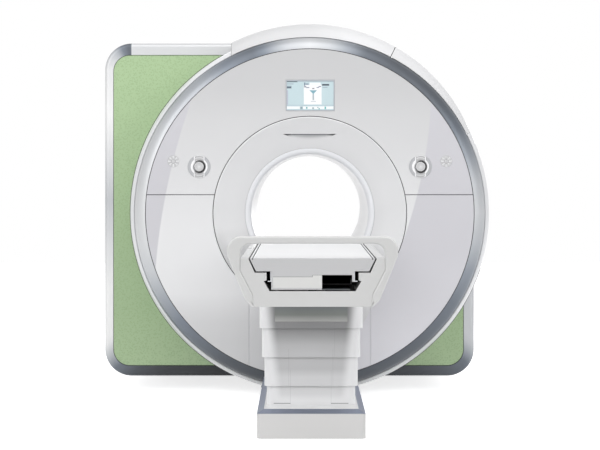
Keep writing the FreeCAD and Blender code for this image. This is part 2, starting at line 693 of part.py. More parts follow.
def face_places(degrees, share):
    """Left and right place on the face at an angle from the vertical and a share of the face's width."""
    radius = FUNNEL_R + share * (FACE_R - FUNNEL_R)
    x, z = radius * math.sin(math.radians(degrees)), radius * math.cos(math.radians(degrees))
    return [(-x, AXIS_Z + z), (x, AXIS_Z + z)]


def control_places():
    return face_places(CONTROL_DEG, CONTROL_SHARE)


def grille_places():
    return face_places(GRILLE_DEG, GRILLE_SHARE)


def upper_face_panel():
    above = block(-FACE_R, FACE_R, FACE_Y, FACE_BACK, AXIS_Z + SPLIT_Z + SEAM / 2, AXIS_Z + FACE_R)
    panel = face_ring().common(above)
    holes = [screen_block(FIT, FACE_Y, FACE_BACK)]
    holes += [rod_y(CONTROL_R + FIT, FACE_Y, FACE_BACK, x, z) for x, z in control_places()]
    holes += [rod_y(GRILLE_R + FIT, FACE_Y, FACE_BACK, x, z) for x, z in grille_places()]
    return panel.cut(holes)


def lower_face_panel(x0, x1):
    top = AXIS_Z + SPLIT_Z - SEAM / 2
    return face_ring().common(block(x0, x1, FACE_Y, FACE_BACK, AXIS_Z - FACE_R, top))


def lower_face_panel_left():
    return lower_face_panel(-FACE_R, -SPLIT_X - SEAM / 2)


def lower_face_panel_center():
    panel = lower_face_panel(-SPLIT_X + SEAM / 2, SPLIT_X - SEAM / 2)
    below = block(-SPLIT_X, SPLIT_X, FACE_Y, FACE_BACK, AXIS_Z - FACE_R, AXIS_Z)
    return panel.common(below)


def lower_face_panel_right():
    return lower_face_panel(SPLIT_X + SEAM / 2, FACE_R)


def bezel_ring():
    """Metal ring round the face, rounded in front, with the flange that carries the face."""
    inner = FACE_R + SEAM / 2
    outer = BEZEL_R - SEAM / 2
    front = FACE_Y + BEZEL_STEP
    middle = ((inner + outer) / 2 + BEZEL_OUT, (front + BEZEL_Y) / 2 - BEZEL_BULGE)
    back_middle = (middle[0] - (1 - ARC) * SKIN_T, middle[1] + (1 - ARC) * SKIN_T)
    return turned([
        (inner - FLANGE - SEAM, FACE_BACK),
        (inner, FACE_BACK),
        (inner, front),
        (middle, (outer, BEZEL_Y)),
        (outer, BEZEL_Y + COVER_T),
        (outer - SKIN_T, BEZEL_Y + COVER_T),
        (back_middle, (inner + SKIN_T, FACE_BACK + SKIN_T)),
        (inner - FLANGE - SEAM, FACE_BACK + SKIN_T),
    ])


def drum_skin():
    """Full ring of the white drum: lip, straight band and the flange against the body."""
    start = BEZEL_R + SEAM / 2
    seat = BEZEL_Y + COVER_T
    bulge = ((start + DRUM_R) / 2 + LIP_OUT, (BEZEL_Y + LIP_Y) / 2 - LIP_BULGE)
    inner = DRUM_R - SKIN_T
    return turned([
        (start - FLANGE, seat),
        (start, seat),
        (start, BEZEL_Y + LIP_STEP),
        (bulge, (DRUM_R, LIP_Y)),
        (DRUM_R, PANEL_Y),
        (PANEL_HOLE_R - FLANGE, PANEL_Y),
        (PANEL_HOLE_R - FLANGE, PANEL_Y - SKIN_T),
        (inner, PANEL_Y - SKIN_T),
        (inner, LIP_Y),
        ((bulge[0] - SKIN_T, bulge[1] + SKIN_T / 2), (start - SKIN_T, seat + SKIN_T)),
        (start - FLANGE, seat + SKIN_T),
    ])


def merge_angle():
    """Angle from the vertical where the raised top runs into the drum."""
    height = (DRUM_R ** 2 - TOP_R ** 2 + TOP_RISE ** 2) / (2 * TOP_RISE)
    return math.degrees(math.acos(height / DRUM_R))


def drum_band():
    half_seam = SEAM / 2
    left = block(TOP_LEFT_X - half_seam, 0, FRONT_Y, 0, AXIS_Z, AXIS_Z + 2 * DRUM_R)
    right = wedge(0, merge_angle(), FRONT_Y, 0)
    return drum_skin().cut(left.fuse(right))


def raised_skin(y_end, shrink):
    """Solid under the raised top, made smaller by the skin's thickness for its inside."""
    start = BEZEL_R + SEAM / 2 - shrink
    y_mid = BEZEL_Y + (LIP_Y - BEZEL_Y) * TOP_SHOULDER
    front = loft([(start, BEZEL_Y + LIP_STEP, 0.0),
                  (TOP_R + TOP_SWELL - shrink, y_mid, TOP_LEAN * TOP_RISE),
                  (TOP_R - shrink, LIP_Y, TOP_RISE)])
    barrel = rod_y(TOP_R - shrink, LIP_Y, y_end, 0, AXIS_Z + TOP_RISE)
    return front.fuse(barrel)


def raised_top():
    """Hollow raised top of the drum, down to where it meets the drum on each side."""
    outer = raised_skin(PANEL_Y, 0.0)
    start = BEZEL_R + SEAM / 2
    seat_y = BEZEL_Y + COVER_T
    seat = tube_y(DRUM_R, start - FLANGE, seat_y, seat_y + SKIN_T).common(outer)
    skin = outer.cut(raised_skin(PANEL_Y - SKIN_T, SKIN_T)).fuse(seat)
    back = rod_y(PANEL_HOLE_R - FLANGE, BODY_FRONT_Y - 2 * SKIN_T, 0)
    inside = rod_y(start - FLANGE, FRONT_Y, LIP_Y)
    front = rod_y(start + FIT, FRONT_Y, seat_y)
    return skin.cut([back, inside, front])


def drum_top_cover():
    """Hood over the drum that runs back as a low cap over the body's top."""
    left = block(TOP_LEFT_X + SEAM / 2, 0, FRONT_Y, 0, AXIS_Z + DRUM_R / 2, AXIS_Z + 2 * DRUM_R)
    right = wedge(0, TOP_RIGHT_DEG - SEAM_DEG, FRONT_Y, 0)
    hood = raised_top().common(left.fuse(right))
    return hood.fuse(top_cap())


def cap_space(shrink):
    """Round-ended space over the body, as wide as the top cover, smaller by the skin for its inside."""
    start = PANEL_Y - SKIN_T / 2
    end = CAP_REAR_Y - shrink
    barrel = rod_y(TOP_R - shrink, start, end, 0, AXIS_Z + TOP_RISE)
    barrel = barrel.makeFillet(CAP_ROUND - shrink, edges_at_y(barrel, end))
    left = block(-TOP_R, 0, start, end, AXIS_Z + DRUM_R / 2, AXIS_Z + 2 * DRUM_R)
    right = wedge(0, TOP_RIGHT_DEG - SEAM_DEG - math.degrees(shrink / DRUM_R), start, end)
    return barrel.common(left.fuse(right))


def top_cap():
    start = PANEL_Y - SKIN_T / 2
    body = prism_y(uniform(-FIT), start, CAP_REAR_Y)
    return cap_space(0.0).cut([cap_space(SKIN_T), body])


def drum_shoulder_cover():
    sector = wedge(TOP_RIGHT_DEG + SEAM_DEG, merge_angle() - SEAM_DEG, FRONT_Y, 0)
    return raised_top().common(sector)


# ---------------------------------------------------------------- square body
def body_outline(left, right, top, bottom, inset=0.0):
    """Rounded body outline with the one large corner at the upper right."""
    x0, x1 = BODY_LEFT + left, BODY_RIGHT - right
    z0, z1 = BODY_BOTTOM + bottom, BODY_TOP - top
    small, large = BODY_ROUND - inset, BODY_SWEEP - inset
    s, g = small * ARC, large * ARC
    return [
        (x0 + small, z0),
        (x1 - small, z0),
        ((x1 - s, z0 + s), (x1, z0 + small)),
        (x1, z1 - large),
        ((x1 - g, z1 - g), (x1 - large, z1)),
        (x0 + small, z1),
        ((x0 + s, z1 - s), (x0, z1 - small)),
        (x0, z0 + small),
        ((x0 + s, z0 + s), (x0 + small, z0)),
    ]


def uniform(inset):
    return body_outline(inset, inset, inset, inset, inset)


def frame_opening():
    return body_outline(FRAME_LEFT, FRAME_RIGHT, FRAME_TOP, FRAME_BOTTOM, (FRAME_LEFT + FRAME_TOP) / 2)


def edges_at_y(shape, y):
    return [e for e in shape.Edges if abs(e.BoundBox.YMin - y) < NEAR and abs(e.BoundBox.YMax - y) < NEAR]


def body_frame_ring():
    outer = prism_y(uniform(0.0), BODY_FRONT_Y, BODY_FRONT_Y + FRAME_DEPTH)
    outer = outer.makeFillet(FRAME_ROUND, edges_at_y(outer, BODY_FRONT_Y))
    opening = prism_y(frame_opening(), BODY_FRONT_Y, PANEL_Y + COVER_T)
    back = prism_y(uniform(FRAME_BOTTOM - FLANGE), PANEL_Y + COVER_T + SKIN_T,
                   BODY_FRONT_Y + FRAME_DEPTH)
    ledge = prism_y(body_outline(FRAME_LEFT + FLANGE, FRAME_RIGHT + FLANGE, FRAME_TOP + FLANGE,
                                 FRAME_BOTTOM + FLANGE, FRAME_TOP), BODY_FRONT_Y, BODY_FRONT_Y + FRAME_DEPTH)
    drum = rod_y(DRUM_R + FIT, BODY_FRONT_Y, PANEL_Y)
    raised = rod_y(TOP_R + FIT, BODY_FRONT_Y, PANEL_Y, 0, AXIS_Z + TOP_RISE)
    hood = raised.common(block(TOP_LEFT_X, REACH, BODY_FRONT_Y, PANEL_Y, AXIS_Z, AXIS_Z + REACH))
    vessel = rod_y(SHELL_R + SEAM / 2, PANEL_Y, BODY_FRONT_Y + FRAME_DEPTH)
    return outer.cut([opening, back, ledge, drum, hood, vessel])


def green_panel(x0, x1):
    """Coloured panel between the metal frame and the drum, on one side of the drum."""
    gap = SEAM / 2
    panel = prism_y(body_outline(FRAME_LEFT + gap, FRAME_RIGHT + gap, FRAME_TOP + gap, FRAME_BOTTOM + gap,
                                 (FRAME_LEFT + FRAME_TOP) / 2 + gap), PANEL_Y, PANEL_Y + COVER_T)
    side = block(x0, x1, PANEL_Y, PANEL_Y + COVER_T, BODY_BOTTOM, BODY_TOP)
    return panel.cut(rod_y(PANEL_HOLE_R, PANEL_Y, PANEL_Y + COVER_T)).common(side)


def body_shell():
    y0 = BODY_FRONT_Y + FRAME_DEPTH
    shell = prism_y(uniform(0.0), y0, REAR_FRONT).cut(prism_y(uniform(SKIN_T), y0, REAR_FRONT))
    turret = block(-TURRET_CUT_X, TURRET_CUT_X, y0, CAP_REAR_Y - CAP_ROUND + FIT,
                   BODY_TOP - TURRET_CUT_H, BODY_TOP)
    front_feet = block(-FRONT_FOOT_X[1] - SKIN_T, FRONT_FOOT_X[1] + SKIN_T, y0,
                       FRONT_BEAM_Y + BEAM_W + SKIN_T, BODY_BOTTOM, BODY_BOTTOM + 2 * SKIN_T)
    rear_feet = block(-REAR_FOOT_X[1] - SKIN_T, REAR_FOOT_X[1] + SKIN_T, REAR_BEAM_Y - SKIN_T,
                      REAR_BEAM_Y + BEAM_W + SKIN_T, BODY_BOTTOM, BODY_BOTTOM + 2 * SKIN_T)
    return shell.cut([turret, front_feet, rear_feet])


def rear_cover():
    cover = prism_y(uniform(0.0), REAR_FRONT, REAR_Y)
    cover = cover.makeFillet(REAR_T - SKIN_T, edges_at_y(cover, REAR_Y))
    pocket = prism_y(uniform(FLANGE), REAR_FRONT, REAR_Y - COVER_T)
    slots = []
    z1 = BODY_TOP - VENT_DROP
    for i in range(VENT_COUNT):
        x0 = VENT_X + i * VENT_PITCH
        slots.append(block(x0, x0 + VENT_W, REAR_FRONT, REAR_Y, z1 - VENT_H, z1))
    hole = rod_y(REAR_FUNNEL_R, REAR_FRONT, REAR_Y)
    return cover.cut([pocket, hole] + slots)


def rear_funnel_cover():
    """Flared end of the tunnel in the rear cover."""
    outer = REAR_FUNNEL_R - SEAM / 2
    middle = ((outer + TUNNEL_R) / 2 - REAR_FLARE, (REAR_Y + LINER_Y1) / 2 - REAR_FLARE)
    return turned([
        (TUNNEL_R, LINER_Y1),
        (middle, (outer, REAR_Y)),
        (outer, REAR_Y - COVER_T),
        (outer + FLANGE, REAR_Y - COVER_T),
        (outer + FLANGE, REAR_Y - COVER_T - SKIN_T),
        (outer - SKIN_T, REAR_Y - COVER_T - SKIN_T),
        ((middle[0] + SKIN_T / 2, middle[1] - SKIN_T), (TUNNEL_R + LINER_T, LINER_Y1)),
    ])


# ---------------------------------------------------------------- display and controls
def screen_block(grow, y0, y1):
    return block(SCREEN_X - SCREEN_W / 2 - grow, SCREEN_X + SCREEN_W / 2 + grow, y0, y1,
                 AXIS_Z + SCREEN_Z - SCREEN_H / 2 - grow, AXIS_Z + SCREEN_Z + SCREEN_H / 2 + grow)


def display_bezel():
    tray = screen_block(0, FACE_Y - SCREEN_PROUD, FACE_Y + SCREEN_BACK)
    return tray.cut(screen_block(-SCREEN_RIM, FACE_Y - SCREEN_PROUD, FACE_Y + SCREEN_BACK - SKIN_T))


def display_screen():
    return screen_block(-SCREEN_RIM - FIT / 2, FACE_Y, FACE_Y + SCREEN_BACK - SKIN_T)


def key_shape(x, z, side, grow, y0, y1):
    """Up or down key of a control unit, bounded by its rim and the groove round the knob."""
    z0, z1 = sorted((z + side * KNOB_R, z + side * CONTROL_R))
    tab = block(x - KEY_HALF - grow, x + KEY_HALF + grow, y0, y1, z0, z1)
    tab = tab.common(rod_y(CONTROL_R - CONTROL_RIM + grow, y0, y1, x, z))
    return tab.cut(rod_y(KNOB_R + KNOB_GROOVE + KEY_GAP - grow, y0, y1, x, z))


def control_housing(x, z):
    y0, y1 = FACE_Y - HOUSING_PROUD, FACE_Y + HOUSING_DEPTH
    floor = y1 - HOUSING_FLOOR
    housing = rod_y(CONTROL_R, y0, y1, x, z)
    cuts = [rod_y(KNOB_R + KNOB_GROOVE, y0, floor, x, z), rod_y(STEM_R + STEM_CLEAR, floor, y1, x, z)]
    cuts += [key_shape(x, z, side, FIT, y0, floor) for side in (-1, 1)]
    return housing.cut(cuts)


def control_knob(x, z):
    floor = FACE_Y + HOUSING_DEPTH - HOUSING_FLOOR
    knob = rod_y(KNOB_R, FACE_Y - KNOB_PROUD, floor - FIT, x, z)
    knob = knob.makeFillet(KNOB_PROUD / 4, edges_at_y(knob, FACE_Y - KNOB_PROUD))
    return knob.fuse(rod_y(STEM_R, floor - FIT, FACE_Y + HOUSING_DEPTH, x, z))


def control_key(x, z, side):
    back = FACE_Y + HOUSING_DEPTH - HOUSING_FLOOR - KEY_TRAVEL - FIT
    return key_shape(x, z, side, 0.0, FACE_Y - KEY_PROUD, back)


def speaker_grilles():
    made = []
    y0, y1 = FACE_Y - GRILLE_PROUD, FACE_Y - GRILLE_PROUD + GRILLE_T
    for x, z in grille_places():
        disc = rod_y(GRILLE_R, y0, y1, x, z)
        holes = []
        for ring, count in zip(HOLE_RING_R, HOLE_COUNT):
            for i in range(count):
                turn = 2 * math.pi * i / count
                holes.append(rod_y(HOLE_R, y0, y1, x + ring * math.sin(turn), z + ring * math.cos(turn)))
        made.append(disc.cut(holes))
    return Part.makeCompound(made)


# ---------------------------------------------------------------- patient table
def table_body():
    """Trough that carries the tabletop, with end walls, slide rails and bearing plates."""
    ledge = UNDER_Z - GAP
    shelf = ledge - CHANNEL_H
    channel = LEDGE_IN - CHANNEL_IN
    section = symmetric([
        (0, TABLE_BOTTOM), (FLOOR_HALF, TABLE_BOTTOM), (CREASE_LOW_HALF, CREASE_LOW_Z),
        (BODY_HALF, CREASE_Z), (BODY_HALF, CAP_Z), (CAP_IN, CAP_Z), (TOP_EDGE_HALF + GAP, ledge),
        (channel, ledge), (channel, shelf), (channel + CHANNEL_UNDERCUT, shelf - CHANNEL_STEP),
        (TROUGH_HALF, KEEL_BOTTOM - GAP), (TROUGH_HALF, TROUGH_FLOOR), (0, TROUGH_FLOOR),
    ])
    body = prism_y(section, TABLE_FOOT_Y, TABLE_HEAD_Y)
    parts = cheeks()
    for y0 in (TABLE_FOOT_Y, TABLE_HEAD_Y - END_WALL):
        parts.append(block(-TROUGH_HALF, TROUGH_HALF, y0, y0 + END_WALL, TABLE_BOTTOM, KEEL_BOTTOM - GAP))
    for x0 in (LEDGE_IN, -LEDGE_IN - RAIL_W):
        parts.append(block(x0, x0 + RAIL_W, TABLE_FOOT_Y + RAIL_START, TABLE_HEAD_Y, ledge, UNDER_Z - FIT))
    shafts = [rod_x(SHAFT_R + SHAFT_CLEAR, -SHAFT_HALF, SHAFT_HALF, y, PULLEY_Z) for y in (DRIVE_Y, IDLE_Y)]
    return body.fuse(parts).cut(shafts)


def cheeks():
    """Bearing plates for the two pulleys."""
    made = []
    for y in (DRIVE_Y, IDLE_Y):
        for x0 in (CHEEK_IN, -CHEEK_IN - CHEEK_T):
            made.append(block(x0, x0 + CHEEK_T, y - CHEEK_HALF, y + CHEEK_HALF,
                              TABLE_BOTTOM, PULLEY_Z + CHEEK_HALF))
    return made


def table_side_covers():
    """Capping strips along both upper edges of the table body."""
    right = prism_y([(TOP_HALF + GAP, TOP_Z), (BODY_HALF, TOP_Z), (BODY_HALF, CAP_Z), (CAP_IN, CAP_Z)],
                    TABLE_FOOT_Y, TABLE_HEAD_Y)
    return Part.makeCompound([right, mirrored(right)])


def loop_handle():
    """Rail that rises from both flanks of the table and crosses over its foot end."""
    k = math.sqrt(0.5)
    toe = FLOOR_HALF + LOOP_TOE
    r, q = LOOP_ROUND, LOOP_IN_ROUND
    under = LOOP_TOP - LOOP_BAR
    out_c = (LOOP_HALF - r, LOOP_TOP - r)
    in_c = (BODY_HALF - q, under - q)
    right = [
        (FLOOR_HALF, TABLE_BOTTOM), (toe, TABLE_BOTTOM), (LOOP_LOW_HALF, LOOP_LOW_Z),
        (LOOP_HALF, LOOP_WIDE_Z),
        (LOOP_HALF, LOOP_TOP - r),
        ((out_c[0] + k * r, out_c[1] + k * r), (LOOP_HALF - r, LOOP_TOP)),
    ]
    left = [
        (r - LOOP_HALF, LOOP_TOP),
        ((-out_c[0] - k * r, out_c[1] + k * r), (-LOOP_HALF, LOOP_TOP - r)),
        (-LOOP_HALF, LOOP_WIDE_Z), (-LOOP_LOW_HALF, LOOP_LOW_Z), (-toe, TABLE_BOTTOM),
        (-FLOOR_HALF, TABLE_BOTTOM),
        (-CREASE_LOW_HALF, CREASE_LOW_Z), (-BODY_HALF, CREASE_Z), (-BODY_HALF, in_c[1]),
        ((-in_c[0] - k * q, in_c[1] + k * q), (-in_c[0], under)),
    ]
    back = [
        (in_c[0], under),
        ((in_c[0] + k * q, in_c[1] + k * q), (BODY_HALF, in_c[1])),
        (BODY_HALF, CREASE_Z), (CREASE_LOW_HALF, CREASE_LOW_Z),
    ]
    y0 = TABLE_FOOT_Y - LOOP_PROUD
    loop = prism_y(right + left + back, y0, y0 + LOOP_DEPTH)
    outer_box = [e for e in edges_at_y(loop, y0) + edges_at_y(loop, y0 + LOOP_DEPTH) if on_loop_rim(e)]
    return loop.makeFillet(LOOP_EDGE, outer_box)


def on_loop_rim(edge):
    """True for the edges round the outside of the loop, from one flank over the bar to the other."""
    middle = edge.valueAt((edge.FirstParameter + edge.LastParameter) / 2)
    flank = LOOP_LOW_HALF + (LOOP_HALF - LOOP_LOW_HALF) * (
        (middle.z - LOOP_LOW_Z) / (LOOP_WIDE_Z - LOOP_LOW_Z))
    outside = abs(middle.x) > min(flank, LOOP_HALF) - NEAR and middle.z > LOOP_LOW_Z + NEAR
    corner = abs(middle.x) > LOOP_HALF - LOOP_ROUND and middle.z > LOOP_TOP - LOOP_ROUND
    return outside or corner or middle.z > LOOP_TOP - NEAR


def tabletop():
    """Tabletop with its hollow keel, open at the foot end, and an accessory slot in each edge."""
    half = [(SLOT_X, TOP_Z), (SLOT_X, TOP_Z - SLOT_D), (SLOT_X + SLOT_W, TOP_Z - SLOT_D),
            (SLOT_X + SLOT_W, TOP_Z), (TOP_HALF, TOP_Z), (TOP_EDGE_HALF, UNDER_Z),
            (KEEL_HALF, UNDER_Z), (KEEL_HALF, KEEL_BOTTOM)]
    top = prism_y(symmetric(half), TOP_Y0, TOP_Y1)
    side = KEEL_HALF - KEEL_WALL
    low, end = KEEL_BOTTOM + KEEL_WALL, TOP_Y1 - 2 * COVER_T
    step = low + COVER_H + FIT
    hollow = block(-side, side, TOP_Y0, end, low, step)
    raised = block(COVER_STEP_X - FIT, side, TOP_Y0, end, step, KEEL_ROOF)
    mouth_end = TOP_Y0 + KEEL_MOUTH
    mouth = block(COVER_SPLIT_X, KEEL_HALF, TOP_Y0, mouth_end, KEEL_BOTTOM + KEEL_SILL, low)
    corner = block(side - KEEL_WALL, KEEL_HALF, TOP_Y0, mouth_end, KEEL_BOTTOM, BRACKET_LOW)
    return top.cut([hollow, raised, mouth, corner]).fuse(belt_clamp())


def belt_clamp():
    """Block under the keel that grips the upper run of the belt."""
    y0 = DRIVE_Y + CLAMP_START
    belt_top = PULLEY_Z + PULLEY_R + FIT + BELT_T
    return block(-BELT_HALF, BELT_HALF, y0, y0 + CLAMP_L, belt_top + FIT, KEEL_BOTTOM)


def foot_end_cover():
    """Plate that closes part of the keel's foot end, with a step at one side."""
    low, left = KEEL_BOTTOM + KEEL_WALL, KEEL_WALL - KEEL_HALF
    high = low + COVER_H
    plate = block(left, COVER_SPLIT_X, TOP_Y0, TOP_Y0 + COVER_T, low, high)
    return plate.fuse(block(COVER_STEP_X, COVER_SPLIT_X, TOP_Y0, TOP_Y0 + COVER_T, high, KEEL_ROOF))


def hold_down_brackets():
    y1 = TOP_Y0 + BRACKET_L
    stem = block(KEEL_HALF, KEEL_HALF + BRACKET_T, TOP_Y0, y1, BRACKET_LOW, UNDER_Z)
    foot = block(KEEL_HALF, KEEL_HALF + BRACKET_FOOT, TOP_Y0, y1, BRACKET_LOW, BRACKET_LOW + BRACKET_T)
    right = stem.fuse(foot)
    return Part.makeCompound([right, mirrored(right)])


# ---------------------------------------------------------------- tabletop drive
def pulley(y):
    wheel = rod_x(PULLEY_R, -PULLEY_HALF, PULLEY_HALF, y, PULLEY_Z)
    for x0 in (-PULLEY_HALF - PULLEY_RIM_W, PULLEY_HALF):
        wheel = wheel.fuse(rod_x(PULLEY_R + PULLEY_RIM, x0, x0 + PULLEY_RIM_W, y, PULLEY_Z))
    return wheel.fuse(rod_x(SHAFT_R, -SHAFT_HALF, SHAFT_HALF, y, PULLEY_Z))


def stadium(radius, half):
    ends = [rod_x(radius, -half, half, y, PULLEY_Z) for y in (DRIVE_Y, IDLE_Y)]
    run = block(-half, half, DRIVE_Y, IDLE_Y, PULLEY_Z - radius, PULLEY_Z + radius)
    return run.fuse(ends)


def drive_belt():
    inner = PULLEY_R + FIT
    return stadium(inner + BELT_T, BELT_HALF).cut(stadium(inner, BELT_HALF))


def drive_motor():
    """Gear motor that drives the pulley shaft at the foot end."""
    x0 = MOTOR_GAP
    body = rod_x(MOTOR_R, x0, x0 + MOTOR_L, DRIVE_Y, PULLEY_Z)
    foot = block(x0, x0 + MOTOR_L / 2, DRIVE_Y - MOTOR_R, DRIVE_Y + MOTOR_R, TROUGH_FLOOR, PULLEY_Z)
    socket = rod_x(SHAFT_R + SHAFT_CLEAR, x0, SHAFT_HALF + FIT, DRIVE_Y, PULLEY_Z)
    return body.fuse(foot).cut(socket)


# ---------------------------------------------------------------- column and plinth
def rounded_block(half, y0, y1, z0, z1, radius):
    shape = block(-half, half, y0, y1, z0, z1)
    upright = [e for e in shape.Edges if e.BoundBox.ZLength > (z1 - z0) / 2]
    return shape.makeFillet(radius, upright)


def sleeve(index):
    """One sleeve of the column, counted from the top, with its slide pads."""
    half = SLEEVE_HALF - index * SLEEVE_STEP
    y0 = COLUMN_FRONT_Y + index * SLEEVE_STEP
    y1 = COLUMN_REAR_Y - index * SLEEVE_STEP
    z0 = DECK_Z + SLEEVE_LOW[index]
    z1 = TABLE_BOTTOM if index == 0 else DECK_Z + SLEEVE_TOP[index - 1]
    radius = SLEEVE_ROUND - index * SLEEVE_T
    shape = rounded_block(half, y0, y1, z0, z1, radius)
    inside = rounded_block(half - SLEEVE_T, y0 + SLEEVE_T, y1 - SLEEVE_T, z0, z1, radius - SLEEVE_T)
    shape = shape.cut(inside)
    if index == 0:
        return shape
    proud = SLEEVE_STEP - SLEEVE_T - FIT
    middle = (y0 + y1) / 2
    pads = []
    for x in (-half / 2, half / 2):
        for y in (y0 - proud, y1):
            pads.append(block(x - PAD_W / 2, x + PAD_W / 2, y, y + proud, z1 - PAD_H, z1))
    for y in (y0 + 2 * PAD_W, middle - PAD_W / 2, y1 - 3 * PAD_W):
        for x in (-half - proud, half):
            pads.append(block(x, x + proud, y, y + PAD_W, z1 - PAD_H, z1))
    return shape.fuse(pads)


def column_sleeve_1():
    """Top sleeve, with a shallow panel recess in its front."""
    shape = sleeve(0)
    low = shape.BoundBox.ZMin + PANEL_ABOVE
    panel = block(-PANEL_HALF, PANEL_HALF, COLUMN_FRONT_Y, COLUMN_FRONT_Y + PANEL_RECESS,
                  low, TABLE_BOTTOM - PANEL_BELOW)
    return shape.cut(panel)


def lift_stage(index):
    """One stage of the two telescopic lift columns, counted from the bottom."""
    half = STAGE_HALF - index * (STAGE_T + FIT)
    z0 = STAGE_LOW[index]
    made = []
    for y in STAGE_Y:
        outer = block(-half, half, y - half, y + half, z0, z0 + STAGE_L)
        hole = half - STAGE_T
        made.append(outer.cut(block(-hole, hole, y - hole, y + hole, z0, z0 + STAGE_L)))
    return Part.makeCompound(made)


def deck():
    inset = TRIM_W
    return block(inset - PLINTH_HALF, PLINTH_HALF - inset, PLINTH_FRONT_Y + inset, PLINTH_REAR_Y - inset,
                 PLINTH_H, DECK_Z)


def table_base():
    """Plinth: hollow cast foot with its raised deck."""
    body = block(-PLINTH_HALF, PLINTH_HALF, PLINTH_FRONT_Y, PLINTH_REAR_Y, 0, PLINTH_H)
    upright = [e for e in body.Edges if e.BoundBox.ZLength > PLINTH_H / 2]
    body = body.makeChamfer(PLINTH_CORNER, upright)
    w = PLINTH_WALL
    hollow = block(w - PLINTH_HALF, PLINTH_HALF - w, PLINTH_FRONT_Y + w, PLINTH_REAR_Y - w, 0, PLINTH_H - w)
    return body.cut(hollow).fuse(deck())


def base_trim():
    """Bevelled metal strip round the deck."""
    def rectangle(inset, z):
        x, y0, y1 = PLINTH_HALF - inset, PLINTH_FRONT_Y + inset, PLINTH_REAR_Y - inset
        corners = [vec(-x, y0, z), vec(x, y0, z), vec(x, y1, z), vec(-x, y1, z)]
        return Part.makePolygon(corners + corners[:1])

    bevel = Part.makeLoft([rectangle(0, PLINTH_H), rectangle(TRIM_W, DECK_Z)], True, True)
    return bevel.cut(deck())


# ---------------------------------------------------------------- all sub-parts
def all_parts():
    left, right = control_places()
    parts = {
        "magnet_base": magnet_base(),
        "cryostat_vessel": cryostat_vessel(),
        "cryostat_front_flange": cryostat_front_flange(),
        "thermal_shield": thermal_shield(),
        "helium_vessel": helium_vessel(),
        "suspension_rods": suspension_rods(),
        "coil_former": coil_former(),
        "main_coils": main_coils(),
        "gradient_coil": gradient_coil(),
        "rf_body_coil": rf_body_coil(),
        "bore_liner": bore_liner(),
        "service_turret": service_turret(),
        "cold_head": cold_head(),
        "front_bore_ring": front_bore_ring(),
        "front_funnel_cover": front_funnel_cover(),
        "laser_window": laser_window(),
        "upper_face_panel": upper_face_panel(),
        "lower_face_panel_left": lower_face_panel_left(),
        "lower_face_panel_center": lower_face_panel_center(),
        "lower_face_panel_right": lower_face_panel_right(),
        "bezel_ring": bezel_ring(),
        "drum_band": drum_band(),
        "drum_top_cover": drum_top_cover(),
        "drum_shoulder_cover": drum_shoulder_cover(),
        "body_frame_ring": body_frame_ring(),
        "green_panel_left": green_panel(BODY_LEFT, 0),
        "green_panel_right": green_panel(0, BODY_RIGHT),
        "body_shell": body_shell(),
        "rear_cover": rear_cover(),
        "rear_funnel_cover": rear_funnel_cover(),
        "display_bezel": display_bezel(),
        "display_screen": display_screen(),
        "speaker_grilles": speaker_grilles(),
        "table_base": table_base(),
        "base_trim": base_trim(),
        "column_sleeve_1": column_sleeve_1(),
        "column_sleeve_2": sleeve(1),
        "column_sleeve_3": sleeve(2),
        "column_sleeve_4": sleeve(3),
        "lift_stage_lower": lift_stage(0),
        "lift_stage_middle": lift_stage(1),
        "lift_stage_upper": lift_stage(2),
        "table_body": table_body(),
        "table_side_covers": table_side_covers(),
        "loop_handle": loop_handle(),
        "tabletop": tabletop(),
        "foot_end_cover": foot_end_cover(),
        "hold_down_brackets": hold_down_brackets(),
        "drive_belt": drive_belt(),
        "drive_pulley": pulley(DRIVE_Y),
        "idle_pulley": pulley(IDLE_Y),
        "drive_motor": drive_motor(),
    }
    for side, (x, z) in (("left", left), ("right", right)):
        parts["control_housing_" + side] = control_housing(x, z)
        parts["control_knob_" + side] = control_knob(x, z)
        parts["up_key_" + side] = control_key(x, z, 1)
        parts["down_key_" + side] = control_key(x, z, -1)
    return parts


os.makedirs("parts", exist_ok=True)
for part_name, part_shape in all_parts().items():
    save(part_name, part_shape)
    print(part_name, len(part_shape.Solids), part_shape.isValid(), round(part_shape.Volume / 1e6, 2))
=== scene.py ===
# %% [markdown]
# # A magnetic resonance scanner, dressed around its construction model
# The construction model gives every cover, sleeve and rail at its real size. Its curved covers have only as
# many facets as a physics model needs, so this lesson models the visible covers again, finely and with
# rounded edges, and gives every surface a finish made of nodes. The camera and the light come first, because
# they decide how everything after them is judged.

# %% Load the frame
import json
import math

import bmesh
import bpy
from mathutils import Matrix, Vector


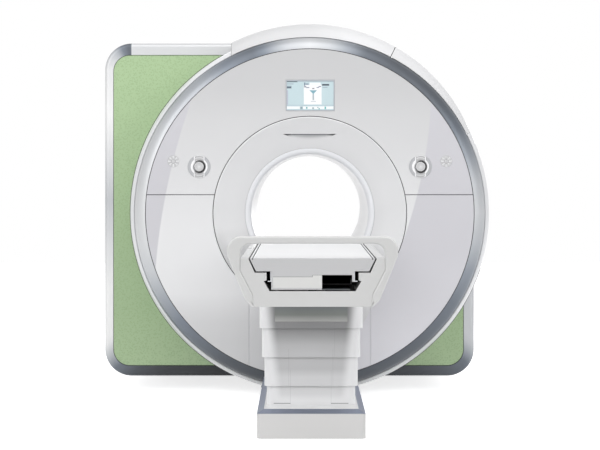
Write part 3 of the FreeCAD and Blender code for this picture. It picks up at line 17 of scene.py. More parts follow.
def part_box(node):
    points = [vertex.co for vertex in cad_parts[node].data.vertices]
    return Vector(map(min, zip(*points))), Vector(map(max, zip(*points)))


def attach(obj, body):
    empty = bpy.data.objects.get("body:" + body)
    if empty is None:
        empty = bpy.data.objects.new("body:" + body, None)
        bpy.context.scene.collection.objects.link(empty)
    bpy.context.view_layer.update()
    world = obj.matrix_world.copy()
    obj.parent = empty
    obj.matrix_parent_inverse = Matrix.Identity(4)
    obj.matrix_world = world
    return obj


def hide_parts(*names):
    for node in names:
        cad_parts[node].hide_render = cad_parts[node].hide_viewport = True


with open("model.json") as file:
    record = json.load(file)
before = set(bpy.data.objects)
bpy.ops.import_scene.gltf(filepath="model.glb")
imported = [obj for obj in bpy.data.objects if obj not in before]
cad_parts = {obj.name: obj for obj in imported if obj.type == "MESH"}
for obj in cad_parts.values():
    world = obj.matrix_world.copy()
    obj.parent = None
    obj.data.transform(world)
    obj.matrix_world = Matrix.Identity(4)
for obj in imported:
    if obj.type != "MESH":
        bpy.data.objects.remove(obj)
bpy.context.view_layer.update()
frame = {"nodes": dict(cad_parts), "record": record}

# %% [markdown]
# ## Places that everything shares
# All lengths are metres. The bore axis runs along Y, so most covers are described by a radius from that axis
# and a depth along it. The depths are read from the construction model's boxes where they can be, so that a
# fine piece sits exactly where its coarse one does.

# %% Places read from the frame
AXIS_Z = 1.100
BODY_ROUND = 0.165
CONTROL_X, CONTROL_Z, CONTROL_R = 0.657, 0.276, 0.067
GRILLE_X, GRILLE_Z, GRILLE_R = 0.810, 0.308, 0.034


def depths(node):
    """Front and back of a node of the construction model."""
    low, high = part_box(node)
    return low[1], high[1]


def on_side(side, near, far):
    """Left and right limit of what lies between two distances on one side."""
    return sorted((side * near, side * far))


FACE_Y, FACE_BACK = depths("upper_face_panel")
CREST_Y = depths("front_funnel_cover")[0]
LINER_Y0, LINER_Y1 = depths("bore_liner")
REAR_FRONT = depths("body_shell")[1]
ring_low, ring_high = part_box("body_frame_ring")
BODY_LEFT, BODY_Y, BODY_BOTTOM = ring_low
BODY_RIGHT, BODY_TOP = ring_high[0], ring_high[2]
print("face at", round(FACE_Y, 4), "crest at", round(CREST_Y, 4), "body at", round(BODY_Y, 4))

# %% [markdown]
# ## Camera
# The photograph was taken from about eleven metres with a long lens, slightly above the bore's height and a
# little left of the centre. The verticals stay parallel, so the camera looks straight along Y and the
# picture is lowered with the lens shift instead of a tilt.


# %% Camera
def linked(name, data):
    """An object of the given data, in the scene."""
    thing = bpy.data.objects.new(name, data)
    bpy.context.scene.collection.objects.link(thing)
    return thing


camera_data = bpy.data.cameras.new("camera")
camera_data.lens = 103.1
camera_data.sensor_width = 36.0
camera_data.shift_x = -0.0023
camera_data.shift_y = -0.0908
camera_data.clip_end = 60.0
camera = linked("camera", camera_data)
camera.location = (-0.050, -11.06, 1.353)
camera.rotation_euler = (math.radians(90), 0, 0)
bpy.context.scene.camera = camera
print("camera", [round(v, 3) for v in camera.location])

# %% [markdown]
# ## Node formulas
# Much of a material is arithmetic: how far a point lies from an axis, and which tone belongs there. A small
# class lets Python's own signs add the Math nodes. A formula then reads as a formula, and the node tree that
# comes out is the same as one linked by hand.


# %% Numbers and colours inside a node tree
def add(tree, kind, **values):
    node = tree.nodes.new(kind)
    for key, value in values.items():
        setattr(node, key, value)
    return node


class Value:
    """What a node gives. A sign between two of them, or one and a number, adds a Math node."""

    def __init__(self, socket):
        self.socket = socket
        self.tree = socket.id_data

    def __add__(self, other):
        return reckon("ADD", self, other)

    def __sub__(self, other):
        return reckon("SUBTRACT", self, other)

    def __rsub__(self, other):
        return reckon("SUBTRACT", other, self)

    def __mul__(self, other):
        return reckon("MULTIPLY", self, other)

    def __truediv__(self, other):
        return reckon("DIVIDE", self, other)

    def __abs__(self):
        return reckon("ABSOLUTE", self)


def feed(socket, value):
    """Puts a number, a colour or what another node gives into a socket."""
    if isinstance(value, Value):
        socket.id_data.links.new(value.socket, socket)
    else:
        socket.default_value = value


def reckon(operation, *values, clamp=False):
    """A Math node; at least one of the values comes from a node."""
    tree = next(value.tree for value in values if isinstance(value, Value))
    node = add(tree, "ShaderNodeMath", operation=operation, use_clamp=clamp)
    for socket, value in zip(node.inputs, values):
        feed(socket, value)
    return Value(node.outputs[0])


def larger(first, second):
    return reckon("MAXIMUM", first, second)


print("signs that add a Math node: + - * / and abs")


# %% [markdown]
# ## Light
# Two large soft boxes stand in front, left and right, one hangs above, one lights the rear and a small one
# shines through the tunnel from behind. The world fills the shadows. Only the camera, mirrors and glass see a
# white world; the object itself is lit by a dimmer grey, so its own white covers keep their shading against
# the white background.


# %% World and lamps
def looked_at(tree):
    """1 for the rays that see a background: from the camera, from a gloss or through glass."""
    rays = add(tree, "ShaderNodeLightPath").outputs
    names = ("Is Camera Ray", "Is Glossy Ray", "Is Transmission Ray")
    camera_ray, glossy_ray, passing_ray = (Value(rays[name]) for name in names)
    return larger(larger(camera_ray, glossy_ray), passing_ray)


bpy.context.scene.view_settings.view_transform = "Standard"
WORLD_FILL = 0.56
world = bpy.data.worlds.new("studio")
bpy.context.scene.world = world
world.use_nodes = True
tree = world.node_tree
tree.nodes.clear()
world_out = add(tree, "ShaderNodeOutputWorld")
seen = add(tree, "ShaderNodeBackground")
feed(seen.inputs["Color"], (1, 1, 1, 1))
fill = add(tree, "ShaderNodeBackground")
feed(fill.inputs["Color"], (0.985, 0.99, 1.0, 1))
feed(fill.inputs["Strength"], WORLD_FILL)
choose = add(tree, "ShaderNodeMixShader")
for socket, value in zip(choose.inputs, (looked_at(tree), Value(fill.outputs[0]), Value(seen.outputs[0]))):
    feed(socket, value)
feed(world_out.inputs[0], Value(choose.outputs[0]))


def soft_box(name, place, target, size, power):
    data = bpy.data.lights.new(name, "AREA")
    data.shape = "RECTANGLE"
    data.size, data.size_y = size
    data.energy = power
    lamp = linked(name, data)
    lamp.location = place
    lamp.rotation_euler = (Vector(target) - Vector(place)).to_track_quat("-Z", "Y").to_euler()


soft_box("top_box", (0, -3.4, 5.6), (0, -1.4, 0.6), (5.0, 4.0), 86)
soft_box("left_box", (-4.4, -6.4, 4.2), (0, -1.0, 0.9), (3.2, 3.4), 113)
soft_box("right_box", (4.6, -6.0, 4.0), (0, -1.0, 0.9), (2.8, 3.2), 84)
soft_box("rear_box", (0, 5.0, 3.4), (0, 0.5, 1.0), (4.0, 3.0), 40)
soft_box("bore_box", (1.5, 4.2, 1.5), (-0.25, 0.2, 1.1), (0.9, 0.9), 32)

# %% [markdown]
# ## Shared finishes as node groups
# A colour that is the same everywhere looks like plastic in a drawing. A real moulded cover has a faint
# unevenness and a very fine texture, and it mirrors the light and dark parts of the room as soft fields of
# tone, which the materials here paint in as painted reflections and painted shade. What more than one
# material needs for this is a node group with named sockets: the finish of a cover, the turn and distance
# about an axis, and a window with soft edges.


# %% Colours, steps and ramps
def srgb(red, green, blue):
    """Linear colour from the 0-255 values that an eye reads off a screen."""
    linear = []
    for value in (red, green, blue):
        part = value / 255
        linear.append(part / 12.92 if part <= 0.04045 else ((part + 0.055) / 1.055) ** 2.4)
    return (*linear, 1.0)


def slate(level):
    """A grey that turns blue in its middle tones, as polished metal does in a white room; used for painted
    reflections.
    """
    cool_reflection = max(0.0, 1.0 - abs(level - 125) / 95)
    return srgb(level - 8 * cool_reflection, level - 1 * cool_reflection, level + 9 * cool_reflection)


def grey(level):
    return srgb(level, level, level + 1)


def step(value, low, high):
    """0 at low and 1 at high, smooth between and level beyond."""
    node = add(value.tree, "ShaderNodeMapRange", interpolation_type="SMOOTHSTEP")
    for title, number in (("Value", value), ("From Min", low), ("From Max", high)):
        feed(node.inputs[title], number)
    return Value(node.outputs["Result"])


def mix(amount, first, second):
    """The first colour, with the second one over it by the amount."""
    node = add(amount.tree, "ShaderNodeMix", data_type="RGBA")
    for index, value in ((0, amount), (6, first), (7, second)):
        feed(node.inputs[index], value)
    return Value(node.outputs[2])


def ramp(value, stops, tint=grey):
    """A colour that follows a value through (value, tone) stops; a tone is a level or a colour."""
    low, high = stops[0][0], stops[-1][0]
    spread = add(value.tree, "ShaderNodeMapRange")
    for title, number in (("Value", value), ("From Min", low), ("From Max", high)):
        feed(spread.inputs[title], number)
    colours = add(value.tree, "ShaderNodeValToRGB")
    elements = colours.color_ramp.elements
    while len(elements) < len(stops):
        elements.new(0.5)
    for element, stop in zip(elements, stops):
        element.position = (stop[0] - low) / (high - low)
    for element, stop in zip(elements, stops):
        element.color = stop[1] if isinstance(stop[1], tuple) else tint(stop[1])
    feed(colours.inputs[0], Value(spread.outputs[0]))
    return Value(colours.outputs[0])


print("grey 128 is", round(grey(128)[0], 3), "in linear light")


# %% Places in a material, and groups
def placed_group(tree, group, *values):
    """A node group in a tree, its inputs fed in order; gives its outputs."""
    node = add(tree, "ShaderNodeGroup", node_tree=group)
    for socket, value in zip(node.inputs, values):
        feed(socket, value)
    return [Value(socket) for socket in node.outputs]


class Place:
    """Where the shaded point lies, in the object's own coordinates."""

    def __init__(self, tree):
        self.tree = tree
        self.vector = Value(add(tree, "ShaderNodeTexCoord").outputs["Object"])
        apart = add(tree, "ShaderNodeSeparateXYZ")
        feed(apart.inputs[0], self.vector)
        self.x, self.y, self.z = (Value(socket) for socket in apart.outputs)

    def polar(self, x=0.0, z=AXIS_Z):
        """Turn in degrees clockwise from straight up, and distance, about an axis along Y."""
        return placed_group(self.tree, POLAR, x, z)

    def window(self, left, right, low, high, soft=0.001):
        """1 inside a rectangle of the XZ plane, with soft edges."""
        return placed_group(self.tree, WINDOW, left, right, low, high, soft)[0]


def new_group(name, inputs, outputs):
    """An empty group; a socket called Colour holds a colour, any other one a number."""
    group = bpy.data.node_groups.new(name, "ShaderNodeTree")
    for in_out, titles in (("INPUT", inputs), ("OUTPUT", outputs)):
        for title in titles:
            kind = "NodeSocketColor" if title == "Colour" else "NodeSocketFloat"
            group.interface.new_socket(title, in_out=in_out, socket_type=kind)
    start = add(group, "NodeGroupInput").outputs
    return Place(group), [Value(start[title]) for title in inputs], add(group, "NodeGroupOutput").inputs


def make_polar_group():
    at, (centre_x, centre_z), end = new_group("polar", ("Centre X", "Centre Z"), ("Turn", "Distance"))
    across, up = at.x - centre_x, at.z - centre_z
    feed(end["Turn"], reckon("ARCTAN2", across, up) * (180 / math.pi))
    feed(end["Distance"], reckon("SQRT", across * across + up * up))
    return at.tree


def make_window_group():
    titles = ("Left", "Right", "Low", "High", "Soft")
    at, (left, right, low, high, soft), end = new_group("window", titles, ("Mask",))
    mask = None
    for inner, outer in ((at.x, left), (right, at.x), (at.z, low), (high, at.z)):
        inside = reckon("ADD", (inner - outer) / soft, 0.5, clamp=True)
        mask = inside if mask is None else reckon("MINIMUM", mask, inside)
    feed(end["Mask"], mask)
    return at.tree


POLAR = make_polar_group()
WINDOW = make_window_group()
print("groups:", POLAR.name, WINDOW.name)


# %% The cover finish group
def noise(at, scale, detail):
    node = add(at.tree, "ShaderNodeTexNoise")
    for title, value in (("Vector", at.vector), ("Scale", scale), ("Detail", detail)):
        feed(node.inputs[title], value)
    return Value(node.outputs[0])


def make_cover_group():
    """A faint broad drift in colour and gloss, and a very fine texture as a height."""
    titles = ("Colour", "Unevenness", "Roughness", "Grain Size")
    at, start, end = new_group("cover finish", titles, ("Colour", "Roughness", "Height"))
    colour, unevenness, roughness, grain_size = start
    drift = noise(at, 2.3, 3.0) - 0.5
    tinted = add(at.tree, "ShaderNodeVectorMath", operation="SCALE")
    feed(tinted.inputs[0], colour)
    feed(tinted.inputs["Scale"], drift * unevenness + 1.0)
    feed(end["Colour"], Value(tinted.outputs[0]))
    feed(end["Roughness"], drift * 0.12 + roughness)
    feed(end["Height"], noise(at, grain_size, 2.0))
    return at.tree


COVER_FINISH = make_cover_group()
print("group:", COVER_FINISH.name)


# %% Materials of moulded and painted pieces
def new_material(name):
    material = bpy.data.materials.new(name)
    material.use_nodes = True
    tree = material.node_tree
    tree.nodes.clear()
    shader = add(tree, "ShaderNodeBsdfPrincipled")
    feed(add(tree, "ShaderNodeOutputMaterial").inputs[0], Value(shader.outputs[0]))
    return material, tree, shader.inputs


def finished(name, colour, roughness, grain):
    """A material whose colour, or field of colours, runs through the cover finish group."""
    material, tree, sockets = new_material(name)
    if callable(colour):
        colour = colour(Place(tree))
    tone, gloss, height = placed_group(tree, COVER_FINISH, colour, 0.03, roughness, grain)
    feed(sockets["Base Color"], tone)
    feed(sockets["Roughness"], gloss)
    lift = add(tree, "ShaderNodeBump")
    lift.inputs["Strength"].default_value = 0.02
    lift.inputs["Distance"].default_value = 0.0004
    feed(lift.inputs["Height"], height)
    feed(sockets["Normal"], Value(lift.outputs[0]))
    return material, sockets


def moulded(name, colour, roughness, coat=0.3):
    material, sockets = finished(name, colour, roughness, 900.0)
    sockets["Coat Weight"].default_value = coat
    sockets["Coat Roughness"].default_value = 0.12
    return material


def metal(name, colour, roughness, metallic=1.0, grain=900.0):
    material, sockets = finished(name, colour, roughness, grain)
    sockets["Metallic"].default_value = metallic
    return material


print("kinds of finish:", moulded.__name__, metal.__name__)


# %% [markdown]
# ## Fields of tone: painted reflections, highlights and shade
# The large covers mirror the light and dark parts of the room as broad, soft fields. Lamps that give every
# cover its own fields in the right places would spoil each other. So each material paints them itself, as
# painted reflections, painted highlights and painted shade: a ramp turns a height, a distance or a turn about
# an axis into a tone, and windows with soft edges put the seams, the slots and the picture on
# the screen over it.

# %% Painted reflections on the metal ring and the frame strip
BEZEL_REFLECTION_TONES = ((-180, 78), (-160, 80), (-150, 88), (-140, 108), (-130, 124), (-120, 158), (-110, 190),
               (-100, 204), (-90, 208), (-75, 202), (-60, 192), (-50, 178), (-40, 164), (-30, 130),
               (-20, 108), (-16, 124), (-8, 184), (0, 200), (7, 184), (13, 150), (19, 104), (30, 92),
               (50, 94), (60, 110), (70, 148), (80, 186), (90, 196), (100, 178), (110, 142), (122, 114),
               (140, 98), (180, 78))
STRIP_REFLECTION_TONES = ((-180, 48), (-160, 52), (-150, 58), (-141.5, 64), (-136.5, 80), (-132, 118), (-128.8, 186),
               (-126, 226), (-114, 228), (-87, 190), (-62, 228), (-45, 204), (0, 211), (90, 200),
               (126, 194), (128.6, 160), (130.5, 114), (135.5, 92), (141.5, 76), (150, 66), (180, 48))
CORNER_REFLECTION_TONES = ((-90, 214), (-62, 198), (-40, 174), (-24, 126), (-6, 102), (-1, 108), (0.5, 202))


# Painted reflection: tones by turn about the bore axis stand in for the studio mirrored in the silver ring.
def bezel_reflection_field(at):
    return ramp(at.polar()[0], BEZEL_REFLECTION_TONES, slate)


def strip_reflection_field(at):
    """Painted reflection: light at the sides and top, slate below; the upper left corner turns about its own
    centre.
    """
    turn = at.polar((BODY_LEFT + BODY_RIGHT) / 2, (BODY_BOTTOM + BODY_TOP) / 2)[0]
    corner_x, corner_z = BODY_LEFT + BODY_ROUND, BODY_TOP - BODY_ROUND
    corner = ramp(at.polar(corner_x, corner_z)[0], CORNER_REFLECTION_TONES, slate)
    there = at.window(BODY_LEFT - 0.1, corner_x + 0.002, corner_z, BODY_TOP + 0.1)
    return mix(there, ramp(turn, STRIP_REFLECTION_TONES, slate), corner)


print("tones round the bezel:", len(BEZEL_REFLECTION_TONES))


# %% Painted light and shade on the face, the funnel and the hood; the green panels
# Painted light: the face's tone by height, and the cooler painted reflections at the sides.
FACE_LIGHT_TONES = ((0.10, 213), (0.22, 215), (0.34, 214), (0.46, 218), (0.62, 234), (1.00, 234), (1.41, 220),
              (1.65, 213), (1.85, 204), (2.08, 200))
LEFT_REFLECTION_TONES = ((0.60, srgb(208, 207, 212)), (1.90, srgb(205, 204, 209)))
RIGHT_REFLECTION_TONES = ((0.15, srgb(236, 235, 239)), (0.33, srgb(231, 230, 235)), (0.57, srgb(219, 218, 223)),
                    (0.85, srgb(209, 208, 213)), (1.90, srgb(208, 207, 212)))
REFLECTION_CIRCLES = ((2.975, AXIS_Z - 0.637, 3.903), (-2.031, AXIS_Z + 0.785, 2.753))
RECESS_HALF, RECESS_TOP, CRESCENT_SHADE_REACH = 0.160, 0.471, 0.040


def face_light_field(at):
    """Painted light: white in the middle, dimmer towards the floor and the top, and a cooler painted
    reflection outside two great circles.
    """
    cool_reflection = mix(step(at.x, -0.02, 0.02), ramp(at.z, LEFT_REFLECTION_TONES), ramp(at.z, RIGHT_REFLECTION_TONES))
    outside = [step(at.polar(x, z)[1], radius - 0.005, radius + 0.005) for x, z, radius in REFLECTION_CIRCLES]
    return mix(larger(*outside), ramp(at.z, FACE_LIGHT_TONES), cool_reflection)


def funnel_shade_field(at):
    """Painted shade on cover white: darker at the mouth, at the lower left and under the scoop's straight
    upper edge.
    """
    part = at.x / RECESS_HALF
    reach = reckon("SUBTRACT", 1.0, part * part, clamp=True) * CRESCENT_SHADE_REACH
    down = AXIS_Z + RECESS_TOP + 0.0002 - at.z
    shade = reckon("SUBTRACT", 1.0, down / (reach + 0.0005), clamp=True)
    shade = shade * shade * step(down, 0.0, 0.0008)
    white = ramp(at.polar()[1], ((0.385, 222), (0.46, 228), (0.575, 232)))
    white = mix(step(at.z, 1.03, 0.90) * step(at.x, -0.2, -0.4), white, grey(208))
    return mix(shade * 0.94, white, srgb(62, 68, 76))


def hood_shade_field(at):
    """Cover white with painted shade, a little dimmer towards the left end of the raised top."""
    return ramp(at.x, ((-0.50, 210), (0.0, 214), (0.22, 226), (0.60, 228)))


def green_field(at):
    """A pale printed green with a fine raster of darker dots."""
    base = ramp(at.z, ((0.10, srgb(178, 202, 160)), (0.50, srgb(168, 193, 150)), (1.00, srgb(167, 192, 149)),
                       (1.60, srgb(172, 198, 153)), (2.10, srgb(174, 200, 155))))
    dots = add(at.tree, "ShaderNodeTexVoronoi", feature="F1")
    for title, value in (("Vector", at.vector), ("Scale", 92.0), ("Randomness", 0.8)):
        feed(dots.inputs[title], value)
    spot = step(Value(dots.outputs["Distance"]), 0.52, 0.34)
    return mix(spot * 0.5, base, srgb(150, 178, 132))


print("tones up the face:", len(FACE_LIGHT_TONES))

# %% Painted shade and highlights on the column
sleeve_low, sleeve_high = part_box("column_sleeve_1")
SLEEVE_FRONT = sleeve_low[1]
RECESS_LOW, RECESS_HIGH, RECESS_SIDE = sleeve_low[2] + 0.034, sleeve_high[2] - 0.0245, 0.186
SLEEVE_SHADE_TONES = ((0.17, 238), (0.205, 217), (0.25, 213), (0.294, 212), (0.334, 190), (0.374, 193),
                (0.414, 195), (0.458, 188), (0.503, 160), (0.54, 138), (0.62, 132), (0.80, 128))
SLEEVE_SEAMS = ((1, -0.1375), (2, 0.1206), (3, -0.115), (3, 0.1117), (4, -0.1063), (4, 0.1028))
FOOT_SHADOW_LINES = ((-0.192, -0.1063), (0.1028, 0.192))


def sleeve_field(at):
    """Painted shade under the table, darker at the top and centre; painted highlights at the rounded edges.
    """
    # Painted highlight on the rounded edges and the sides.
    edge = step(abs(at.x) - (at.z - 0.26) * 0.11, 0.143, 0.198)
    front = step(at.y, SLEEVE_FRONT + 0.10, SLEEVE_FRONT + 0.02)
    colour = mix(larger(edge, 1.0 - front), ramp(at.z, SLEEVE_SHADE_TONES), grey(238))
    for index, place in SLEEVE_SEAMS:
        low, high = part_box("column_sleeve_" + str(index))
        top = RECESS_LOW if index == 1 else high[2]
        seam = at.window(place - 0.001, place + 0.001, low[2] + 0.004, top)
        colour = mix(seam * 0.22, colour, grey(110))
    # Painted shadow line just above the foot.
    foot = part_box("column_sleeve_4")[0][2]
    for left, right in FOOT_SHADOW_LINES:
        seam = at.window(left, right, foot + 0.008, foot + 0.011, 0.002)
        colour = mix(seam * 0.85, colour, grey(70))
    # Painted shade in the front recess, darkest under its top.
    behind = step(at.y, SLEEVE_FRONT + 0.0008, SLEEVE_FRONT + 0.0012)
    recess = ramp(at.z, ((RECESS_LOW, srgb(182, 182, 180)), (RECESS_LOW + 0.035, srgb(124, 128, 124)),
                         (RECESS_HIGH - 0.012, srgb(96, 102, 112)), (RECESS_HIGH, srgb(66, 72, 84))))
    return mix(at.window(-RECESS_SIDE, RECESS_SIDE, RECESS_LOW, RECESS_HIGH, 0.002) * behind, colour, recess)


print("recess from", round(RECESS_LOW, 4), "to", round(RECESS_HIGH, 4))

# %% Painted shade on the tabletop and the plinth
SLAB_Y, SLAB_TOP = depths("tabletop")[0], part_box("tabletop")[1][2]
SLAB_LOW, KEEL_HALF = SLAB_TOP - 0.140, 0.184
SLOT_IN, SLOT_OUT = 0.265, 0.270
INSIDE_SHADE = srgb(26, 26, 28)


def slab_shade_field(at):
    """Painted shade: a white top, a greyer foot end, dark slots, and near-black inside the hollow keel."""
    depth = at.y - SLAB_Y
    # Painted shade: the foot end face is greyer than the top.
    colour = mix(step(depth, 0.0016, 0.0006), grey(238), grey(200))
    # Painted shade in the two slots.
    for side in (-1, 1):
        left, right = on_side(side, SLOT_IN - 0.0002, SLOT_OUT + 0.0002)
        slot = at.window(left, right, SLAB_TOP - 0.0065, SLAB_TOP - 0.0015, 0.0004)
        colour = mix(slot, colour, grey(60))
    # Painted shade: near-black inside the hollow keel, and darker deeper into its open sill.
    inside = KEEL_HALF - 0.0075
    hollow = at.window(-inside, inside, SLAB_LOW + 0.0075, SLAB_TOP - 0.0735, 0.0004)
    colour = mix(hollow * step(depth, 0.0016, 0.0030), colour, INSIDE_SHADE)
    sill = at.window(0.041, 0.190, SLAB_LOW - 0.001, SLAB_LOW + 0.0074, 0.0004)
    shade = ramp(depth, ((0.0, srgb(104, 108, 110)), (0.045, srgb(70, 74, 80)), (0.11, INSIDE_SHADE)))
    return mix(sill * step(depth, 0.310, 0.304), colour, shade)


def keel_cover_field(at):
    """Table white with a dark hairline along the upper edge of the stepped cover."""
    low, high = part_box("foot_end_cover")
    line = 0.0014
    inside = larger(at.window(low[0] - 1, high[0] + 1, low[2] - 1, low[2] + 0.050 - line, 0.0004),
                    at.window(line - 0.001, high[0] + 1, low[2] - 1, high[2] - line, 0.0004))
    return mix(inside, grey(128), srgb(222, 222, 220))


def plinth_shade_field(at):
    """The plinth, with painted shade: grey at its front, white on its deck."""
    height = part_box("base_trim")[0][2]
    front, deck = srgb(222, 221, 220), srgb(250, 250, 250)
    return ramp(at.z, ((0.0, front), (height - 0.001, front), (height + 0.002, deck), (height + 0.1, deck)))


print("tabletop surface at", round(SLAB_TOP, 4))

# %% Fields of tone on the display
glass_low, glass_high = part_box("display_screen")
GLASS_X, GLASS_Z = (glass_low[0] + glass_high[0]) / 2, (glass_low[2] + glass_high[2]) / 2
DISPLAY_LINES = (
    # left, right, low, high, tone: all in millimetres from the middle of the glass
    (-140, -76, 79, 84, (52, 62, 78)), (-74, 138, 81, 84, (166, 176, 186)),
    (-138, -100, 66, 70, (150, 164, 178)), (-140, -112, 42, 50, (70, 82, 100)),
    (-140, -112, 52, 56, (96, 110, 128)), (-141, -132, -54, 30, (190, 192, 208)),
    (-38, 68, -54, 62, (250, 250, 252)), (-36, -30, 56, 76, (90, 110, 134)),
    (-28, -10, 64, 70, (104, 122, 146)), (-4, 62, 62, 76, (246, 250, 252)),
    (-36, -24, 48, 54, (90, 106, 130)), (-24, -6, 44, 49, (104, 120, 140)), (12, 24, 38, 43, (60, 66, 76)),
    (38, 52, 44, 49, (104, 120, 140)), (50, 64, 50, 55, (90, 106, 130)), (70, 112, 58, 67, (30, 40, 60)),
    (74, 102, 46, 50, (150, 164, 178)), (14, 22, -28, 10, (168, 182, 188)),
    (4, 34, -38, -34, (190, 198, 204)), (-140, 138, -61, -57, (176, 196, 206)),
    (-140, 138, -82, -65, (246, 249, 250)), (-140, 138, -87, -82, (188, 216, 222)),
    (-60, -44, -82, -66, (150, 172, 180)), (-24, -17, -79, -69, (0, 160, 160)),
    (12, 22, -81, -71, (160, 176, 182)), (50, 56, -82, -75, (20, 168, 165)),
    (42, 48, -75, -69, (150, 172, 180)), (86, 93, -81, -67, (40, 170, 168)))


def display_field(at):
    """A pale screen with a patient picture, a few dashes for words and a row of generic signs."""
    colour = srgb(199, 219, 224)
    for *limits, tone in DISPLAY_LINES:
        left, right, low, high = (limit / 1000 for limit in limits)
        mask = at.window(GLASS_X + left, GLASS_X + right, GLASS_Z + low, GLASS_Z + high, 0.004)
        colour = mix(mask, colour, srgb(*tone))
    down = GLASS_Z + 0.032 - at.z
    aside = abs(at.x - (GLASS_X + 0.018))
    wedge = step(0.026 - aside - down, 0.0, 0.004) * step(down, 0.0, 0.003)
    return mix(wedge, colour, srgb(130, 176, 190))


print("display parts:", len(DISPLAY_LINES))

# %% Fields of tone on the controls and grilles, with painted light on the groove and the knob
GROOVE_LIGHT_TONES = ((-180, 100), (-150, 150), (-125, 220), (-95, 248), (-55, 250), (-25, 225), (0, 170),
                (25, 110), (60, 88), (110, 84), (150, 84), (180, 100))
DISH_TONES = ((0.040, 252), (0.070, 252))
KEY_TONES = ((0.042, 186), (0.049, 190), (0.053, 222), (0.057, 190), (0.063, 184))
KNOB_HIGHLIGHT_TONES = ((0.0, 232), (0.006, 214), (0.018, 202), (0.022, 196), (0.026, 220), (0.028, 200))
MESH_TONES = ((0.0, 232), (0.006, 226), (0.012, 206), (0.034, 202))


def control_field(tones, side):
    """Tones by distance, and painted light and shade in the groove round the knob, as if lit from its upper
    left.
    """
    def field(at):
        turn, distance = at.polar(side * CONTROL_X, AXIS_Z + CONTROL_Z)
        groove = step(distance, 0.027, 0.0285) * step(distance, 0.0425, 0.0375)
        return mix(groove, ramp(distance, tones), ramp(turn, GROOVE_LIGHT_TONES))
    return field


def knob_highlight_field(side):
    """Rings of tone by the distance from the knob's middle: painted highlights in the middle and on the rim.
    """
    return lambda at: ramp(at.polar(side * CONTROL_X, AXIS_Z + CONTROL_Z)[1], KNOB_HIGHLIGHT_TONES)


def grille_field(side):
    """Eight light petals on a grey mesh."""
    def field(at):
        turn, distance = at.polar(side * GRILLE_X, AXIS_Z + GRILLE_Z)
        petal = step(reckon("COSINE", turn * (8 * math.pi / 180)), -0.1, 0.5)
        belt = step(distance, 0.013, 0.018) * step(distance, 0.034, 0.030)
        return mix(petal * belt, ramp(distance, MESH_TONES), grey(246))
    return field


print("tones in the groove:", len(GROOVE_LIGHT_TONES))

# %% All materials
MATERIALS = {
    "steel_frame": metal("steel frame", srgb(110, 113, 118), 0.45),
    "vessel_steel": metal("vessel steel", srgb(200, 202, 205), 0.35),
    "shield_aluminium": metal("shield aluminium", srgb(220, 222, 225), 0.35),
    "rod_composite": moulded("rod composite", srgb(190, 170, 120), 0.5),
    "coil_winding": metal("coil winding", srgb(190, 120, 80), 0.4, grain=300.0),
    "gradient_epoxy": moulded("gradient epoxy", srgb(215, 200, 155), 0.5),
    "rf_composite": moulded("rf composite", srgb(220, 215, 190), 0.45),
    "cold_head_metal": metal("cold head metal", srgb(205, 208, 210), 0.3),
    "tunnel_white": moulded("tunnel white", srgb(236, 237, 240), 0.3),
    "cover_white": moulded("cover white", srgb(232, 233, 235), 0.3),
    # The laser window carries the same painted shade as the funnel's scoop.
    "laser_glass": moulded("laser window", funnel_shade_field, 0.2),
    "bezel_silver": metal("bezel silver", bezel_reflection_field, 0.42, 0.55),
    "frame_silver": metal("frame silver", strip_reflection_field, 0.45, 0.5),
    "panel_green": moulded("panel green", green_field, 0.45, 0.1),
    "display_grey": moulded("display grey", srgb(186, 190, 196), 0.3),
    "display_glass": moulded("display glass", display_field, 0.15),
    "grille_white": moulded("grille white", srgb(214, 216, 222), 0.5),
    "control_grey": moulded("control grey", srgb(184, 185, 188), 0.35),
    "knob_grey": moulded("knob grey", srgb(205, 206, 209), 0.3),
    "key_white": moulded("key white", srgb(198, 199, 202), 0.35),
    "base_white": moulded("base white", plinth_shade_field, 0.4),
    "trim_metal": metal("trim metal", srgb(152, 159, 176), 0.42, 0.7),
    "sleeve_white": moulded("sleeve white", sleeve_field, 0.35),
    "stage_steel": metal("stage steel", srgb(160, 163, 168), 0.3),
    "table_white": moulded("table white", srgb(212, 212, 211), 0.3),
    "tabletop_white": moulded("tabletop white", slab_shade_field, 0.42, 0.1),
    "bracket_steel": metal("bracket steel", srgb(205, 207, 210), 0.3),
    "belt_rubber": moulded("belt rubber", srgb(30, 30, 32), 0.7, 0.0),
    "pulley_metal": metal("pulley metal", srgb(200, 202, 205), 0.3),
    "motor_grey": moulded("motor grey", srgb(70, 73, 78), 0.4),
}
FACE_WHITE = moulded("face white", face_light_field, 0.3)
HOOD_WHITE = moulded("hood white", hood_shade_field, 0.3)
KEEL_COVER_WHITE = moulded("keel cover white", keel_cover_field, 0.3)
FUNNEL_WHITE = moulded("funnel white", funnel_shade_field, 0.3)
TUBE_WHITE = moulded("tube white", srgb(246, 246, 247), 0.3)
# Grey and pale cords for seams whose painted shade is lighter.
SEAM_SHADE_GREY = moulded("seam grey", srgb(206, 207, 209), 0.5)
SEAM_SHADE_PALE = moulded("seam pale", srgb(222, 222, 226), 0.5)
for part in frame["record"]["subparts"]:
    node_materials = frame["nodes"][part["node"]].data.materials
    node_materials.clear()
    node_materials.append(MATERIALS[part["material_slot"]])
print("materials:", len(MATERIALS))

# %% [markdown]
# ## Ways of making a cover
# Nearly every cover here is a ring turned about the bore axis, or a plate or a long section that a flat
# outline gives when it is drawn out along Y. A ring has its rounded edges in its profile, and the helper for
# plates rounds theirs, because an edge with no radius catches no light and looks like paper.


# %% From numbers to a mesh, and a mesh with modifiers
def mesh_from(points, faces):
    mesh = bpy.data.meshes.new("part")
    mesh.from_pydata([tuple(p) for p in points], [], faces)
    return mesh


